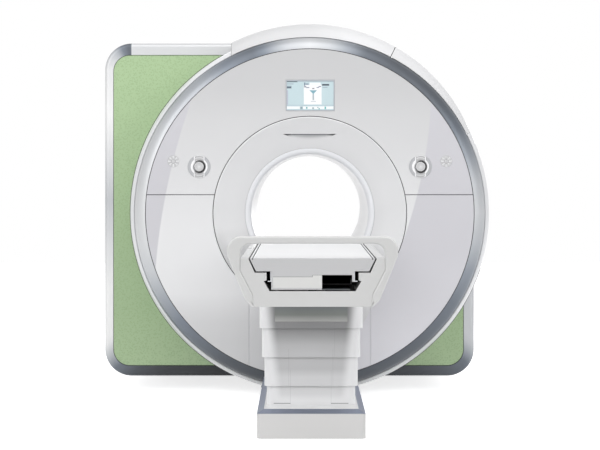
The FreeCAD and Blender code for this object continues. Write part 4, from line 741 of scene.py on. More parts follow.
def joined(*meshes):
    """One mesh from several."""
    work = bmesh.new()
    for mesh in meshes:
        work.from_mesh(mesh)
        bpy.data.meshes.remove(mesh)
    result = bpy.data.meshes.new("part")
    work.to_mesh(result)
    work.free()
    return result


def evaluated(thing):
    """The mesh of a temporary object with its modifiers applied; the object is removed."""
    bpy.context.view_layer.update()
    graph = bpy.context.evaluated_depsgraph_get()
    mesh = bpy.data.meshes.new_from_object(thing.evaluated_get(graph), depsgraph=graph)
    bpy.data.objects.remove(thing)
    return mesh


def changed(mesh, kind, *all_settings):
    """The mesh with modifiers of one kind applied, one for each set of settings."""
    thing = linked("being changed", mesh)
    for settings in all_settings:
        change = thing.modifiers.new("change", kind)
        for name, value in settings.items():
            setattr(change, name, value)
    return evaluated(thing)


print("mesh helpers:", mesh_from.__name__, joined.__name__, changed.__name__)


# %% Faces that look outward
def islands(work):
    """The faces of a bmesh in groups that hang together."""
    left = set(work.faces)
    while left:
        group = [left.pop()]
        for face in group:
            for edge in face.edges:
                for other in edge.link_faces:
                    if other in left:
                        left.remove(other)
                        group.append(other)
        yield group


def volume(faces):
    """Signed volume inside a group of faces; it is negative when they face inward."""
    total = 0.0
    for face in faces:
        points = [vert.co for vert in face.verts]
        for second, third in zip(points[1:], points[2:]):
            total += points[0].dot(second.cross(third)) / 6
    return total


SHARP_TURN = 32


def settle(mesh):
    """Welds, turns the faces outward and shades smooth except at real edges."""
    work = bmesh.new()
    work.from_mesh(mesh)
    bmesh.ops.remove_doubles(work, verts=work.verts, dist=0.00002)
    bmesh.ops.dissolve_degenerate(work, edges=work.edges, dist=0.00001)
    bmesh.ops.recalc_face_normals(work, faces=work.faces)
    for group in islands(work):
        if volume(group) < 0:
            bmesh.ops.reverse_faces(work, faces=group)
    work.to_mesh(mesh)
    work.free()
    mesh.shade_smooth()
    mesh.set_sharp_from_angle(angle=math.radians(SHARP_TURN))


trial = bmesh.new()
bmesh.ops.create_cube(trial, size=1.0)
print("a unit cube's faces enclose", round(volume(trial.faces), 3))
trial.free()


# %% A finished piece, cuts and rounded edges
def piece(name, mesh, slot, *replaced, body="scanner", material=None):
    """Puts a mesh in the scene as a finished piece of one body.

    Its normals are weighed by face area, so that a large flat face stays flat right up to its rounded edge.
    """
    settle(mesh)
    mesh = changed(mesh, "WEIGHTED_NORMAL", {"keep_sharp": True})
    thing = linked(name, mesh)
    mesh.materials.clear()
    mesh.materials.append(material or MATERIALS[slot])
    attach(thing, body)
    if replaced:
        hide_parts(*replaced)


def cut(mesh, *cutters):
    """The mesh with closed cutter meshes taken away."""
    settle(mesh)
    tools = []
    for cutter in cutters:
        settle(cutter)
        tools.append(linked("cutter", cutter))
    result = changed(mesh, "BOOLEAN", *({"object": tool, "operation": "DIFFERENCE", "solver": "EXACT"}
                                        for tool in tools))
    for tool in tools:
        bpy.data.objects.remove(tool)
    return result


def bevelled(mesh, width, segments, angle=35):
    """The mesh with every edge sharper than the angle rounded."""
    settle(mesh)
    return changed(mesh, "BEVEL", {"width": width, "segments": segments, "limit_method": "ANGLE",
                                   "angle_limit": math.radians(angle)})


print("ways of working a mesh:", cut.__name__, bevelled.__name__)


# %% Arcs
def arc(centre, radius, start, end, steps):
    """Points of an arc; angles in degrees, clockwise from straight up."""
    points = []
    for i in range(steps + 1):
        angle = math.radians(start + (end - start) * i / steps)
        points.append((centre[0] + radius * math.sin(angle), centre[1] + radius * math.cos(angle)))
    return points


def circle(x, z, radius, steps=48):
    return arc((x, z), radius, 0, 360, steps)[:-1]


def through(line, middle, last, steps):
    """A line, carried on by the arc from its last point through a middle one to a last one."""
    (ax, ay), (bx, by), (cx, cy) = line[-1], middle, last
    d = 2 * (ax * (by - cy) + bx * (cy - ay) + cx * (ay - by))
    a, b, c = (x * x + y * y for x, y in (line[-1], middle, last))
    ux = (a * (by - cy) + b * (cy - ay) + c * (ay - by)) / d
    uy = (a * (cx - bx) + b * (ax - cx) + c * (bx - ax)) / d
    radius = math.hypot(ax - ux, ay - uy)
    a0, a1, a2 = (math.atan2(y - uy, x - ux) for x, y in (line[-1], middle, last))
    turn = (a2 - a0) % (2 * math.pi)
    if (a1 - a0) % (2 * math.pi) > turn:
        turn -= 2 * math.pi
    bends = [a0 + turn * i / steps for i in range(1, steps + 1)]
    return line + [(ux + radius * math.cos(bend), uy + radius * math.sin(bend)) for bend in bends]


print("points of a circle:", len(circle(0, 0, 1)))


# %% Outlines with rounded corners
def rounded(corners, steps=6):
    """Closed outline from (x, z, radius) corners, each rounded by an arc of its radius."""
    points = []
    for i, (x, z, radius) in enumerate(corners):
        here = Vector((x, z))
        before = Vector(corners[i - 1][:2]) - here
        after = Vector(corners[(i + 1) % len(corners)][:2]) - here
        if radius <= 0:
            points.append((x, z))
            continue
        before.normalize()
        after.normalize()
        half = before.angle(after) / 2
        reach = radius / math.tan(half)
        centre = here + (before + after).normalized() * (radius / math.sin(half))
        start, end = here + before * reach - centre, here + after * reach - centre
        swing = start.angle_signed(end)
        for k in range(steps + 1):
            spoke = start.copy()
            spoke.rotate(Matrix.Rotation(-swing * k / steps, 2))
            points.append(tuple(centre + spoke))
    return points


def rectangle(x0, x1, z0, z1, *radius):
    """Corners of a rectangle, with their radius if one is given."""
    return [(x0, z0, *radius), (x1, z0, *radius), (x1, z1, *radius), (x0, z1, *radius)]


def box_line(x, z, width, height, radius):
    w, h = width / 2, height / 2
    return rounded(rectangle(x - w, x + w, z - h, z + h, radius))


def flipped(line):
    """A line mirrored left to right and walked the other way."""
    return [(-point[0], *point[1:]) for point in reversed(line)]


print("points of a rounded rectangle:", len(box_line(0, 0, 1, 1, 0.1)))


# %% Turned rings, plates and blocks
def turned(profile, steps=240, start=0.0, sweep=360.0, centre=(0.0, AXIS_Z)):
    """A closed profile of (radius, y) points turned about an axis along Y, clockwise from the top."""
    whole = sweep >= 360
    columns = steps if whole else steps + 1
    points, faces = [], []
    for i in range(columns):
        angle = math.radians(start + sweep * i / steps)
        points += [(centre[0] + r * math.sin(angle), y, centre[1] + r * math.cos(angle)) for r, y in profile]
    count = len(profile)
    for i in range(steps):
        a, b = i * count, ((i + 1) % columns) * count
        for j in range(count):
            k = (j + 1) % count
            faces.append((a + j, a + k, b + k, b + j))
    if not whole:
        faces += [tuple(range(count)), tuple(range((columns - 1) * count, columns * count))]
    return mesh_from(points, faces)


def plate(loops, y0, y1, edge=0.0015, steps=2, upright=False):
    """A plate between y0 and y1 from closed (x, z) outlines; the outlines inside the first are holes.

    An upright one has (x, y) outlines and stands between two heights instead.
    """
    curve = bpy.data.curves.new("plate", "CURVE")
    curve.dimensions = "2D"
    curve.fill_mode = "BOTH"
    for loop in loops:
        spline = curve.splines.new("POLY")
        spline.points.add(len(loop) - 1)
        for point, (x, z) in zip(spline.points, loop):
            point.co = (x, z, 0, 1)
        spline.use_cyclic_u = True
    curve.extrude = (y1 - y0) / 2 - edge
    curve.bevel_depth = edge
    curve.offset = -edge
    curve.bevel_resolution = steps
    mesh = evaluated(linked("plate", curve))
    bpy.data.curves.remove(curve)
    middle = (y0 + y1) / 2
    if upright:
        mesh.transform(Matrix.Translation((0, 0, middle)))
    else:
        mesh.transform(Matrix.Translation((0, middle, 0)) @ Matrix.Rotation(math.radians(90), 4, "X"))
    return mesh


def brick(x0, x1, y0, y1, z0, z1, edge=0.001, steps=2):
    """A block with rounded edges."""
    points = [(x, y, z) for x in (x0, x1) for y in (y0, y1) for z in (z0, z1)]
    faces = [(0, 1, 3, 2), (4, 6, 7, 5), (0, 4, 5, 1), (2, 3, 7, 6), (0, 2, 6, 4), (1, 5, 7, 3)]
    return bevelled(mesh_from(points, faces), edge, steps)


print("shape helpers:", turned.__name__, plate.__name__, brick.__name__)

# %% [markdown]
# ## Tunnel
# The tunnel is a plain tube with two rails for the tabletop. Its mouth is a separate ring that rolls from the
# funnel into the tube. Both are turned about the bore axis from a small profile.

# %% Tunnel tube and mouth ring
TUNNEL_R, TUNNEL_T = 0.350, 0.006
SKIN = 0.008
COVER_T = FACE_BACK - FACE_Y
SEAM = 0.004
MOUTH_R, MOUTH_Y = 0.387, CREST_Y + 0.082
RAIL_LOW, RAIL_HIGH = AXIS_Z - TUNNEL_R + 0.06, 0.9037
tube = turned(rectangle(TUNNEL_R, TUNNEL_R + TUNNEL_T, LINER_Y0, LINER_Y1))
rails = [brick(*on_side(side, 0.205, 0.225), LINER_Y0, LINER_Y1, RAIL_LOW, RAIL_HIGH, 0.002)
         for side in (-1, 1)]
piece("tunnel", joined(tube, *rails), "tunnel_white", "bore_liner", material=TUBE_WHITE)

mouth_out = MOUTH_R - SEAM / 2
mouth = [(mouth_out, MOUTH_Y + COVER_T), (mouth_out, MOUTH_Y + 0.0015), (mouth_out - 0.0015, MOUTH_Y)]
mouth = through(mouth, (TUNNEL_R + 0.009, MOUTH_Y + 0.009), (TUNNEL_R, LINER_Y0), 16)
mouth += [(TUNNEL_R + SKIN, LINER_Y0)]
mouth = through(mouth, (TUNNEL_R + 0.016, MOUTH_Y + 0.016), (MOUTH_R - 0.011, MOUTH_Y + COVER_T), 10)
piece("bore_mouth_ring", turned(mouth), "tunnel_white", "front_bore_ring")
print("mouth ring from", round(MOUTH_Y, 3), "to", round(LINER_Y0, 3))

# %% [markdown]
# ## Front funnel
# The funnel is a shallow cone with a rolled rim. A crescent is scooped out of its top for the positioning
# laser. The scoop is cut with a boolean, because its floor is flat while the cone is not, and a boolean finds
# that edge by itself.

# %% Funnel cover
FUNNEL_R, RIM = 0.575, 0.006
RECESS_SAG, RECESS_FLOOR = 0.032, 0.058
outer, inner = FUNNEL_R - SEAM / 2, MOUTH_R + SEAM / 2
middle = (outer + inner) / 2
funnel = [(outer, FACE_BACK), (outer, CREST_Y + RIM)]
funnel = through(funnel, (outer - 0.293 * RIM, CREST_Y + 0.293 * RIM), (outer - RIM, CREST_Y), 5)
funnel = through(funnel, (middle, CREST_Y + 0.047), (inner, MOUTH_Y), 24)
funnel += [(inner, MOUTH_Y + COVER_T), (inner + 0.016, MOUTH_Y + COVER_T + SKIN)]
funnel = through(funnel, (middle, CREST_Y + 0.0578), (outer - 0.016, FACE_BACK + SKIN), 12)
scoop_r = (RECESS_HALF ** 2 + RECESS_SAG ** 2) / (2 * RECESS_SAG)
scoop_z = AXIS_Z + RECESS_TOP - RECESS_SAG + scoop_r
half_turn = math.degrees(math.asin(RECESS_HALF / scoop_r))
scoop_line = arc((0, scoop_z), scoop_r, 180 - half_turn, 180 + half_turn, 24)
scoop = plate([scoop_line], CREST_Y - 0.05, CREST_Y + RECESS_FLOOR, 0.0001, 0)
funnel_mesh = cut(turned(funnel), scoop)
print("funnel faces:", len(funnel_mesh.polygons))
piece("funnel_cover", funnel_mesh, "cover_white", "front_funnel_cover", material=FUNNEL_WHITE)

# %% [markdown]
# ## Face
# The face is a flat ring in four panels. Each panel is a plate cut from an outline of arcs and straight
# seams, with holes for the display, the control units and the loudspeakers.

# %% Face panels
FACE_R = 0.976
SPLIT_Z, SPLIT_X = 0.109, 0.360
SCREEN_W, SCREEN_H, SCREEN_X, SCREEN_Z = 0.289, 0.184, 0.0025, 0.699
HAIR = 0.0003
OUT_R, IN_R = FACE_R - SEAM / 2, FUNNEL_R + SEAM / 2


def level_seam(height, side):
    """Turn of a level seam at each radius."""
    return lambda radius: side * math.degrees(math.acos(height / radius))


def upright_seam(x, side):
    """Turn of an upright seam below the axis at each radius."""
    return lambda radius: side * (180 - math.degrees(math.asin(x / radius)))


def panel(start, end, out_steps, in_steps, holes=()):
    """A plate between the face's two radii, from one seam to another."""
    line = arc((0, AXIS_Z), OUT_R, start(OUT_R), end(OUT_R), out_steps)
    line += arc((0, AXIS_Z), IN_R, end(IN_R), start(IN_R), in_steps)
    return plate([line, *holes], FACE_Y, FACE_BACK)


holes = [box_line(SCREEN_X, AXIS_Z + SCREEN_Z, SCREEN_W + 2 * HAIR, SCREEN_H + 2 * HAIR, 0.001)]
for side in (-1, 1):
    holes.append(circle(side * CONTROL_X, AXIS_Z + CONTROL_Z, CONTROL_R + HAIR))
    holes.append(circle(side * GRILLE_X, AXIS_Z + GRILLE_Z, GRILLE_R + HAIR))
above, below = SPLIT_Z + SEAM / 2, SPLIT_Z - SEAM / 2
upper = panel(level_seam(above, -1), level_seam(above, 1), 160, 110, holes)
piece("upper_face", upper, "cover_white", "upper_face_panel", material=FACE_WHITE)
for side, name in ((-1, "left"), (1, "right")):
    lower = panel(level_seam(below, side), upright_seam(SPLIT_X + SEAM / 2, side), 80, 60)
    piece("lower_face_" + name, lower, "cover_white", "lower_face_panel_" + name, material=FACE_WHITE)
near = upright_seam(SPLIT_X - SEAM / 2, 1)
lower = panel(near, lambda radius: 360 - near(radius), 60, 60)
piece("lower_face_center", lower, "cover_white", "lower_face_panel_center", material=FACE_WHITE)
print("face holes:", len(holes))

# %% [markdown]
# ## Dark cords in the seams: painted shade
# A dark cord lies at the bottom of each seam and stands in for the shade in it; that cord is why the seams
# read as fine dark lines. Without it a gap only four millimetres wide fills with light from its own white
# walls.

# %% Dark cords in the round and straight seams, standing in for their shade
SHADE_CORD = 0.0017


def shade_cord_ring(radius, front, back):
    near, far = radius - SHADE_CORD, radius + SHADE_CORD
    return turned(rectangle(near, far, front, back))


def crossing(radius, offset):
    """Distance along a seam from its middle to where it meets a radius."""
    return math.sqrt(radius ** 2 - offset ** 2)


cord_y, cord_back = FACE_Y + 0.002, FACE_BACK - HAIR
# Painted shade: dark cords in the seams of the face; a grey cord at the mouth and pale ones in the upright
# seams.
shade_cords = [shade_cord_ring(FACE_R, cord_y, cord_back), shade_cord_ring(FUNNEL_R, cord_y, FACE_BACK)]
mouth_shade_cord = shade_cord_ring(MOUTH_R, MOUTH_Y + 0.001, MOUTH_Y + COVER_T)
piece("mouth_shade_cord", mouth_shade_cord, "tunnel_white", material=SEAM_SHADE_GREY)
pale = []
for side in (-1, 1):
    ends = on_side(side, crossing(IN_R, SPLIT_Z), crossing(OUT_R, SPLIT_Z))
    level, x = AXIS_Z + SPLIT_Z, side * SPLIT_X
    shade_cords.append(brick(*ends, cord_y, cord_back, level - SHADE_CORD, level + SHADE_CORD, 0.0002, 1))
    pale.append(brick(x - SHADE_CORD, x + SHADE_CORD, FACE_Y + 0.0006, cord_back, AXIS_Z - crossing(OUT_R, SPLIT_X),
                      AXIS_Z - crossing(IN_R, SPLIT_X), 0.0002, 1))
piece("face_shade_cords", joined(*shade_cords), "belt_rubber")
piece("upright_shade_cords", joined(*pale), "cover_white", material=SEAM_SHADE_PALE)
print("gaskets:", len(shade_cords) + len(pale) + 1)

# %% [markdown]
# ## Bezel ring
# A silver ring frames the face. It swells forward like a tyre, and its half-metallic finish catches some of
# the studio; the rest of the studio's narrow band is a painted reflection in its colour, by turn about the
# bore axis. Its profile is an arc with many points.

# %% Bezel ring
BEZEL_R, BEZEL_Y = 1.049, CREST_Y + 0.075
BULGE = 0.0056
inner, outer = FACE_R + SEAM / 2, BEZEL_R - SEAM / 2
front = FACE_Y + 0.003
swell_r, swell_y = (inner + outer) / 2 + BULGE, (front + BEZEL_Y) / 2 - 0.014
profile = [(inner - 0.020, FACE_BACK + SKIN), (inner - 0.020, FACE_BACK + HAIR), (inner, FACE_BACK + HAIR),
           (inner, front)]
profile = through(profile, (swell_r, swell_y), (outer, BEZEL_Y), 28)
profile += [(outer, BEZEL_Y + COVER_T), (outer - SKIN, BEZEL_Y + COVER_T)]
profile = through(profile, (swell_r - BULGE, swell_y + BULGE), (inner + SKIN, FACE_BACK + SKIN), 12)
piece("bezel", turned(profile, 360), "bezel_silver", "bezel_ring")
print("bezel width", round(outer - inner, 4))

# %% [markdown]
# ## Drum
# Behind the bezel the white drum rolls back to the body. Its top is raised into a hood whose circle is a
# little smaller and stands higher. The hood is a sheet of rings: each ring is a circle that moves up as the
# sheet goes back, and it is trimmed by a straight seam on the left and a radial one on the right.

# %% Drum band
DRUM_R, DRUM_FLANGE = 1.081, 0.10
LIP_Y, LIP_STEP = CREST_Y + 0.165, 0.002
BODY_FACE_Y = BODY_Y + 0.004
TOP_R, TOP_RISE = 1.043, 0.092
TOP_LEFT_X, TOP_RIGHT = -0.471, 27.4
SEAM_TURN = math.degrees(SEAM / 2 / DRUM_R)
start_r = BEZEL_R + SEAM / 2
lip_bulge = ((start_r + DRUM_R) / 2 + 0.005, (BEZEL_Y + LIP_Y) / 2 - 0.007)
flange_r, rear_y = DRUM_R - DRUM_FLANGE, BODY_FACE_Y - SKIN
band = [(start_r - 0.020, BEZEL_Y + COVER_T + HAIR), (start_r, BEZEL_Y + COVER_T),
        (start_r, BEZEL_Y + LIP_STEP)]
band = through(band, lip_bulge, (DRUM_R, LIP_Y), 20)
band += [(DRUM_R, BODY_FACE_Y), (flange_r, BODY_FACE_Y), (flange_r, rear_y), (DRUM_R - SKIN, rear_y),
         (DRUM_R - SKIN, LIP_Y), (start_r - SKIN, BEZEL_Y + COVER_T + SKIN)]
merge_height = (DRUM_R ** 2 - TOP_R ** 2 + TOP_RISE ** 2) / (2 * TOP_RISE)
MERGE_TURN = math.degrees(math.acos(merge_height / DRUM_R))
left_turn = -math.degrees(math.asin((-TOP_LEFT_X + SEAM / 2) / DRUM_R))
piece("drum_skin", turned(band, 240, MERGE_TURN, 360 + left_turn - MERGE_TURN), "cover_white", "drum_band")
print("raised top merges at", round(MERGE_TURN, 1), "degrees")

# %% Rings of the raised top
TOP_SHOULDER = 0.375


def parabola(t, places):
    """Height at t of the parabola through three {t: height} places."""
    total = 0.0
    for here, height in places.items():
        for other in places:
            if other != here:
                height *= (t - other) / (here - other)
        total += height
    return total


def hood_ring(t):
    """Radius, y and centre height of the hood's ring; t runs 0-1 over the rounded front, then in metres."""
    if t >= 1:
        return TOP_R, LIP_Y + (t - 1), TOP_RISE
    radius = parabola(t, {0.0: start_r, TOP_SHOULDER: TOP_R + 0.001, 1.0: TOP_R})
    rise = parabola(t, {0.0: 0.0, TOP_SHOULDER: 0.67 * TOP_RISE, 1.0: TOP_RISE})
    return radius, BEZEL_Y + LIP_STEP + (LIP_Y - BEZEL_Y - LIP_STEP) * t, min(rise, TOP_R + TOP_RISE - radius)


print("crest of the raised top at", round(AXIS_Z + TOP_RISE + TOP_R, 4))


# %% Sheets between two seams
def radial_limit(radius, rise, turn):
    """Angle about the hood's own centre where a radial seam of the drum meets its ring."""
    slope = math.radians(turn)
    return slope + math.asin(rise * math.sin(slope) / radius)


def at_turn(turn):
    return lambda radius, rise: radial_limit(radius, rise, turn)


def at_x(x):
    return lambda radius, rise: math.asin(x / radius)


def hood_sheet(left, right, stations, side_depth):
    """Sheet of hood rings between two limits, with turned-down sides."""
    columns = 64
    points, faces = [], []
    for t, inset, y_shift in stations:
        radius, y, rise = hood_ring(t)
        low, high = left(radius, rise), right(radius, rise)
        row = []
        for i in range(columns + 1):
            angle = low + (high - low) * i / columns
            r = radius - inset
            row.append((r * math.sin(angle), y + y_shift, AXIS_Z + rise + r * math.cos(angle)))
        first, last = row[0], row[-1]
        inward = Vector((last[0], 0, last[2] - AXIS_Z)).normalized() * side_depth
        points += [(first[0], first[1], first[2] - side_depth), *row]
        points.append((last[0] - inward.x, last[1], last[2] - inward.z))
    count = columns + 3
    for j in range(len(stations) - 1):
        a, b = j * count, (j + 1) * count
        faces += [(a + i, a + i + 1, b + i + 1, b + i) for i in range(count - 1)]
    return mesh_from(points, faces)


def thick(mesh, depth):
    """Gives a sheet a thickness towards its back."""
    work = bmesh.new()
    work.from_mesh(mesh)
    bmesh.ops.recalc_face_normals(work, faces=work.faces)
    high = max(work.faces, key=lambda f: f.calc_center_median().z)
    if high.normal.z < 0:
        bmesh.ops.reverse_faces(work, faces=work.faces)
    work.to_mesh(mesh)
    work.free()
    return changed(mesh, "SOLIDIFY", {"thickness": depth, "offset": -1})


print("the right seam lies at", round(math.degrees(radial_limit(TOP_R, TOP_RISE, TOP_RIGHT)), 2), "degrees")

# %% Hood, shoulder and the dark strips in their seams that stand in for shade
CAP_REAR_Y, CAP_ROUND = 0.150, 0.040
BENDS = [math.radians(90 * i / 8) for i in range(9)]
cap_end = CAP_REAR_Y - CAP_ROUND - LIP_Y
front_rows = [(i / 14, 0.0, 0.0) for i in range(15)]
long_rows = [(1 + (BODY_FACE_Y - LIP_Y) * i / 4, 0.0, 0.0) for i in range(1, 5)]
cap_rows = [(1 + cap_end * i / 6, 0.0, 0.0) for i in range(1, 7)]
round_rows = [(1 + cap_end, CAP_ROUND * (1 - math.cos(bend)), CAP_ROUND * math.sin(bend))
              for bend in BENDS[1:]]
round_rows.append((1 + cap_end, CAP_ROUND + 0.06, CAP_ROUND))
near, far = TOP_RIGHT + SEAM_TURN, MERGE_TURN - SEAM_TURN
hood_rows = front_rows + cap_rows + round_rows
hood = hood_sheet(at_x(TOP_LEFT_X + SEAM / 2), at_turn(TOP_RIGHT - SEAM_TURN), hood_rows, 0.055)
piece("drum_hood", thick(hood, 0.004), "cover_white", "drum_top_cover", material=HOOD_WHITE)
shoulder = thick(hood_sheet(at_turn(near), at_turn(far), front_rows + long_rows, 0.012), 0.004)
start, end = (math.degrees(radial_limit(TOP_R, TOP_RISE, turn)) for turn in (near, far))
line = arc((0, AXIS_Z + TOP_RISE), TOP_R - 0.003, start, end, 30)
line += arc((0, AXIS_Z), DRUM_R - DRUM_FLANGE, far, near, 30)
rear_wall = plate([line], BODY_FACE_Y - SKIN, BODY_FACE_Y, 0.0005, 1)
piece("drum_shoulder", joined(shoulder, rear_wall), "cover_white", "drum_shoulder_cover", material=HOOD_WHITE)
# Painted shade: dark strips in the hood's two seams stand in for the shade in them.
shade_strip_rows = [(row[0], 0.0025, 0.0) for row in front_rows + cap_rows[:4]]
shade_strips = [hood_sheet(at_x(TOP_LEFT_X - 0.001), at_x(TOP_LEFT_X + SEAM / 2 + 0.001), shade_strip_rows, 0.006),
         hood_sheet(at_turn(TOP_RIGHT - SEAM_TURN), at_turn(near), shade_strip_rows, 0.008)]
piece("hood_shade_strips", joined(*(thick(shade_strip, 0.0015) for shade_strip in shade_strips)), "belt_rubber")
print("hood from", round(BEZEL_Y, 3), "to", CAP_REAR_Y)

# %% [markdown]
# ## Square body
# Behind the drum stands a square body in a metal frame strip. Three of its corners share one radius and the
# upper right one is swept in a much larger arc. The frame is a stack of outlines: each has the same number of
# points, so walking from one outline to the next gives clean rounded edges.

# %% Body outlines
BODY_SWEEP = 1.000
FRAME_LEFT, FRAME_RIGHT, FRAME_TOP, FRAME_BOTTOM = 0.052, 0.064, 0.072, 0.063
FRAME_DEPTH, FRAME_ROUND = 0.090, 0.024
CORNER_STEPS = 16


def body_outline(left, right, top, bottom, inset):
    """Rounded outline with the one large corner; every call gives the same number of points."""
    x0, x1 = BODY_LEFT + left, BODY_RIGHT - right
    z0, z1 = BODY_BOTTOM + bottom, BODY_TOP - top
    small, large = BODY_ROUND - inset, BODY_SWEEP - inset
    points = arc((x1 - large, z1 - large), large, 0, 90, 3 * CORNER_STEPS)
    centres = ((x1 - small, z0 + small), (x0 + small, z0 + small), (x0 + small, z1 - small))
    for centre, start in zip(centres, (90, 180, 270)):
        points += arc(centre, small, start, start + 90, CORNER_STEPS)
    return points


def even(inset):
    return body_outline(inset, inset, inset, inset, inset)


def inside_frame(gap):
    """The frame strip's inner outline, and outlines a gap inside it."""
    return body_outline(FRAME_LEFT + gap, FRAME_RIGHT + gap, FRAME_TOP + gap, FRAME_BOTTOM + gap,
                        (FRAME_LEFT + FRAME_TOP) / 2 + gap)


def stacked(levels, closed=True, upright=False):
    """Skin through (outline, y) levels; upright ones are (x, y) outlines with their height."""
    count = len(levels[0][0])
    points = [(x, v, level) if upright else (x, level, v) for line, level in levels for x, v in line]
    faces = []
    for j in range(len(levels) if closed else len(levels) - 1):
        a, b = j * count, ((j + 1) % len(levels)) * count
        for i in range(count):
            k = (i + 1) % count
            faces.append((a + i, a + k, b + k, b + i))
    return mesh_from(points, faces)


print("body outline points:", len(even(0.0)))

# %% Frame strip, shell and green panels
inner_line, deeper = inside_frame(0.0), inside_frame(0.001)
levels = [(even(0.008), BODY_Y + FRAME_DEPTH), (even(0.0), BODY_Y + FRAME_DEPTH)]
levels += [(even(FRAME_ROUND * (1 - math.cos(bend))), BODY_Y + FRAME_ROUND * (1 - math.sin(bend)))
           for bend in BENDS]
levels += [(inner_line, BODY_Y), (deeper, BODY_Y + 0.001), (deeper, BODY_Y + 0.016)]
piece("frame_strip", thick(stacked(levels, closed=False), 0.003), "frame_silver", "body_frame_ring")

panel_line = inside_frame(0.003)
PANEL_HOLE = 0.990
for name, side in (("left", 1), ("right", -1)):
    green = plate([panel_line], BODY_FACE_Y, BODY_FACE_Y + COVER_T)
    hole = turned(rectangle(0.0001, PANEL_HOLE, BODY_Y - 0.05, BODY_Y + 0.05))
    half = brick(min(0, side * 3), max(0, side * 3), BODY_Y - 0.1, BODY_Y + 0.1, -1, 4, 0.0001, 1)
    piece("green_" + name, cut(green, hole, half), "panel_green", "green_panel_" + name)

# Painted shade: a dark ring between the frame strip and the green panels, and dark rings behind the drum's
# lip where it meets the body.
body_shade_cord = plate([inside_frame(0.0004), panel_line], BODY_FACE_Y + 0.001, BODY_FACE_Y + COVER_T, 0.0001, 0)
near, far = DRUM_R + 0.0002, DRUM_R + 0.0036
drum_line = [(near, LIP_Y + 0.002), (far, LIP_Y + 0.003), (far, LIP_Y + 0.008), (near, LIP_Y + 0.009)]
drum_shade_rings = [turned(drum_line, 120, start, sweep) for start, sweep in ((208, 123), (108, 44))]
piece("body_shade_cords", joined(body_shade_cord, *drum_shade_rings), "belt_rubber")

front, rear = BODY_Y + FRAME_DEPTH + 0.0005, REAR_FRONT - 0.0005
shell = stacked([(even(0.0), front), (even(0.0), rear), (even(SKIN), rear), (even(SKIN), front)])
TURRET_HALF, TURRET_BACK = 0.400, 0.1103
turret_hole = brick(-TURRET_HALF, TURRET_HALF, BODY_Y + FRAME_DEPTH - 0.05, TURRET_BACK, BODY_TOP - 0.2,
                    BODY_TOP + 0.05, 0.001, 1)
piece("shell_skin", cut(shell, turret_hole), "cover_white", "body_shell")
print("frame strip levels:", len(levels))

# %% [markdown]
# ## Rear
# The rear cover closes the body with a rounded edge, a flared funnel round the tunnel and a row of air slots.

# %% Rear cover
REAR_Y = depths("rear_cover")[1]
REAR_FUNNEL_R = 0.540
EDGE = REAR_Y - REAR_FRONT - SKIN
rim_levels = [(even(0.0), REAR_FRONT)]
rim_levels += [(even(EDGE * (1 - math.cos(bend))), REAR_Y - EDGE * (1 - math.sin(bend))) for bend in BENDS]
rim_levels += [(even(0.030), REAR_Y), (even(0.030), REAR_FRONT)]
slots = [box_line(-0.693 + i * 0.046, BODY_TOP - 0.395, 0.014, 0.130, 0.0065) for i in range(9)]
opening = circle(0, AXIS_Z, REAR_FUNNEL_R, 160)
rear_plate = plate([even(0.030), opening, *slots], REAR_Y - COVER_T, REAR_Y, 0.001)
piece("rear_skin", joined(stacked(rim_levels), rear_plate), "cover_white", "rear_cover")
outer, back = REAR_FUNNEL_R - SEAM / 2, REAR_Y - COVER_T
flare = ((outer + TUNNEL_R) / 2 - 0.012, (REAR_Y + LINER_Y1) / 2 - 0.012)
profile = through([(TUNNEL_R + TUNNEL_T, LINER_Y1), (TUNNEL_R, LINER_Y1)], flare, (outer, REAR_Y), 20)
profile += [(outer, back), (outer + 0.020, back - HAIR), (outer + 0.020, back - SKIN),
            (outer - SKIN, back - SKIN)]
profile = through(profile, (flare[0] + 0.004, flare[1] - SKIN), (TUNNEL_R + TUNNEL_T, LINER_Y1), 10)[:-1]
piece("rear_funnel", turned(profile), "cover_white", "rear_funnel_cover")
print("rear slots:", len(slots))

# %% [markdown]
# ## Display and controls
# The display is a shallow frame with a glass front. Each control unit is a round dish: two grey arcs, an up
# key and a down key, and a knob in the middle. Their places are read from the construction model's boxes.

# %% Display
bezel_low, bezel_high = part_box("display_bezel")
screen_middle = ((bezel_low[0] + bezel_high[0]) / 2, (bezel_low[2] + bezel_high[2]) / 2)
SCREEN_RIM = 0.006
frame_line = box_line(*screen_middle, SCREEN_W, SCREEN_H, 0.004)
glass_line = box_line(*screen_middle, SCREEN_W - 2 * SCREEN_RIM, SCREEN_H - 2 * SCREEN_RIM, 0.002)
rim_mesh = plate([frame_line, glass_line], bezel_low[1], bezel_high[1], 0.001)
piece("display_rim", rim_mesh, "display_grey", "display_bezel")
glass = plate([glass_line], FACE_Y, FACE_Y + 0.010, 0.0005, 1)
piece("display_face", glass, "display_glass", "display_screen")
print("display centre", [round(v, 4) for v in screen_middle])


# %% Control units
def key_line(centre, side, half=0.025, inner=0.038, outer=0.063):
    """Outline of the up or down key: straight sides between two arcs."""
    turn_out, turn_in = math.degrees(math.asin(half / outer)), math.degrees(math.asin(half / inner))
    base = 0 if side > 0 else 180
    line = arc(centre, outer, base - turn_out, base + turn_out, 12)
    return line + arc(centre, inner, base + turn_in, base - turn_in, 12)


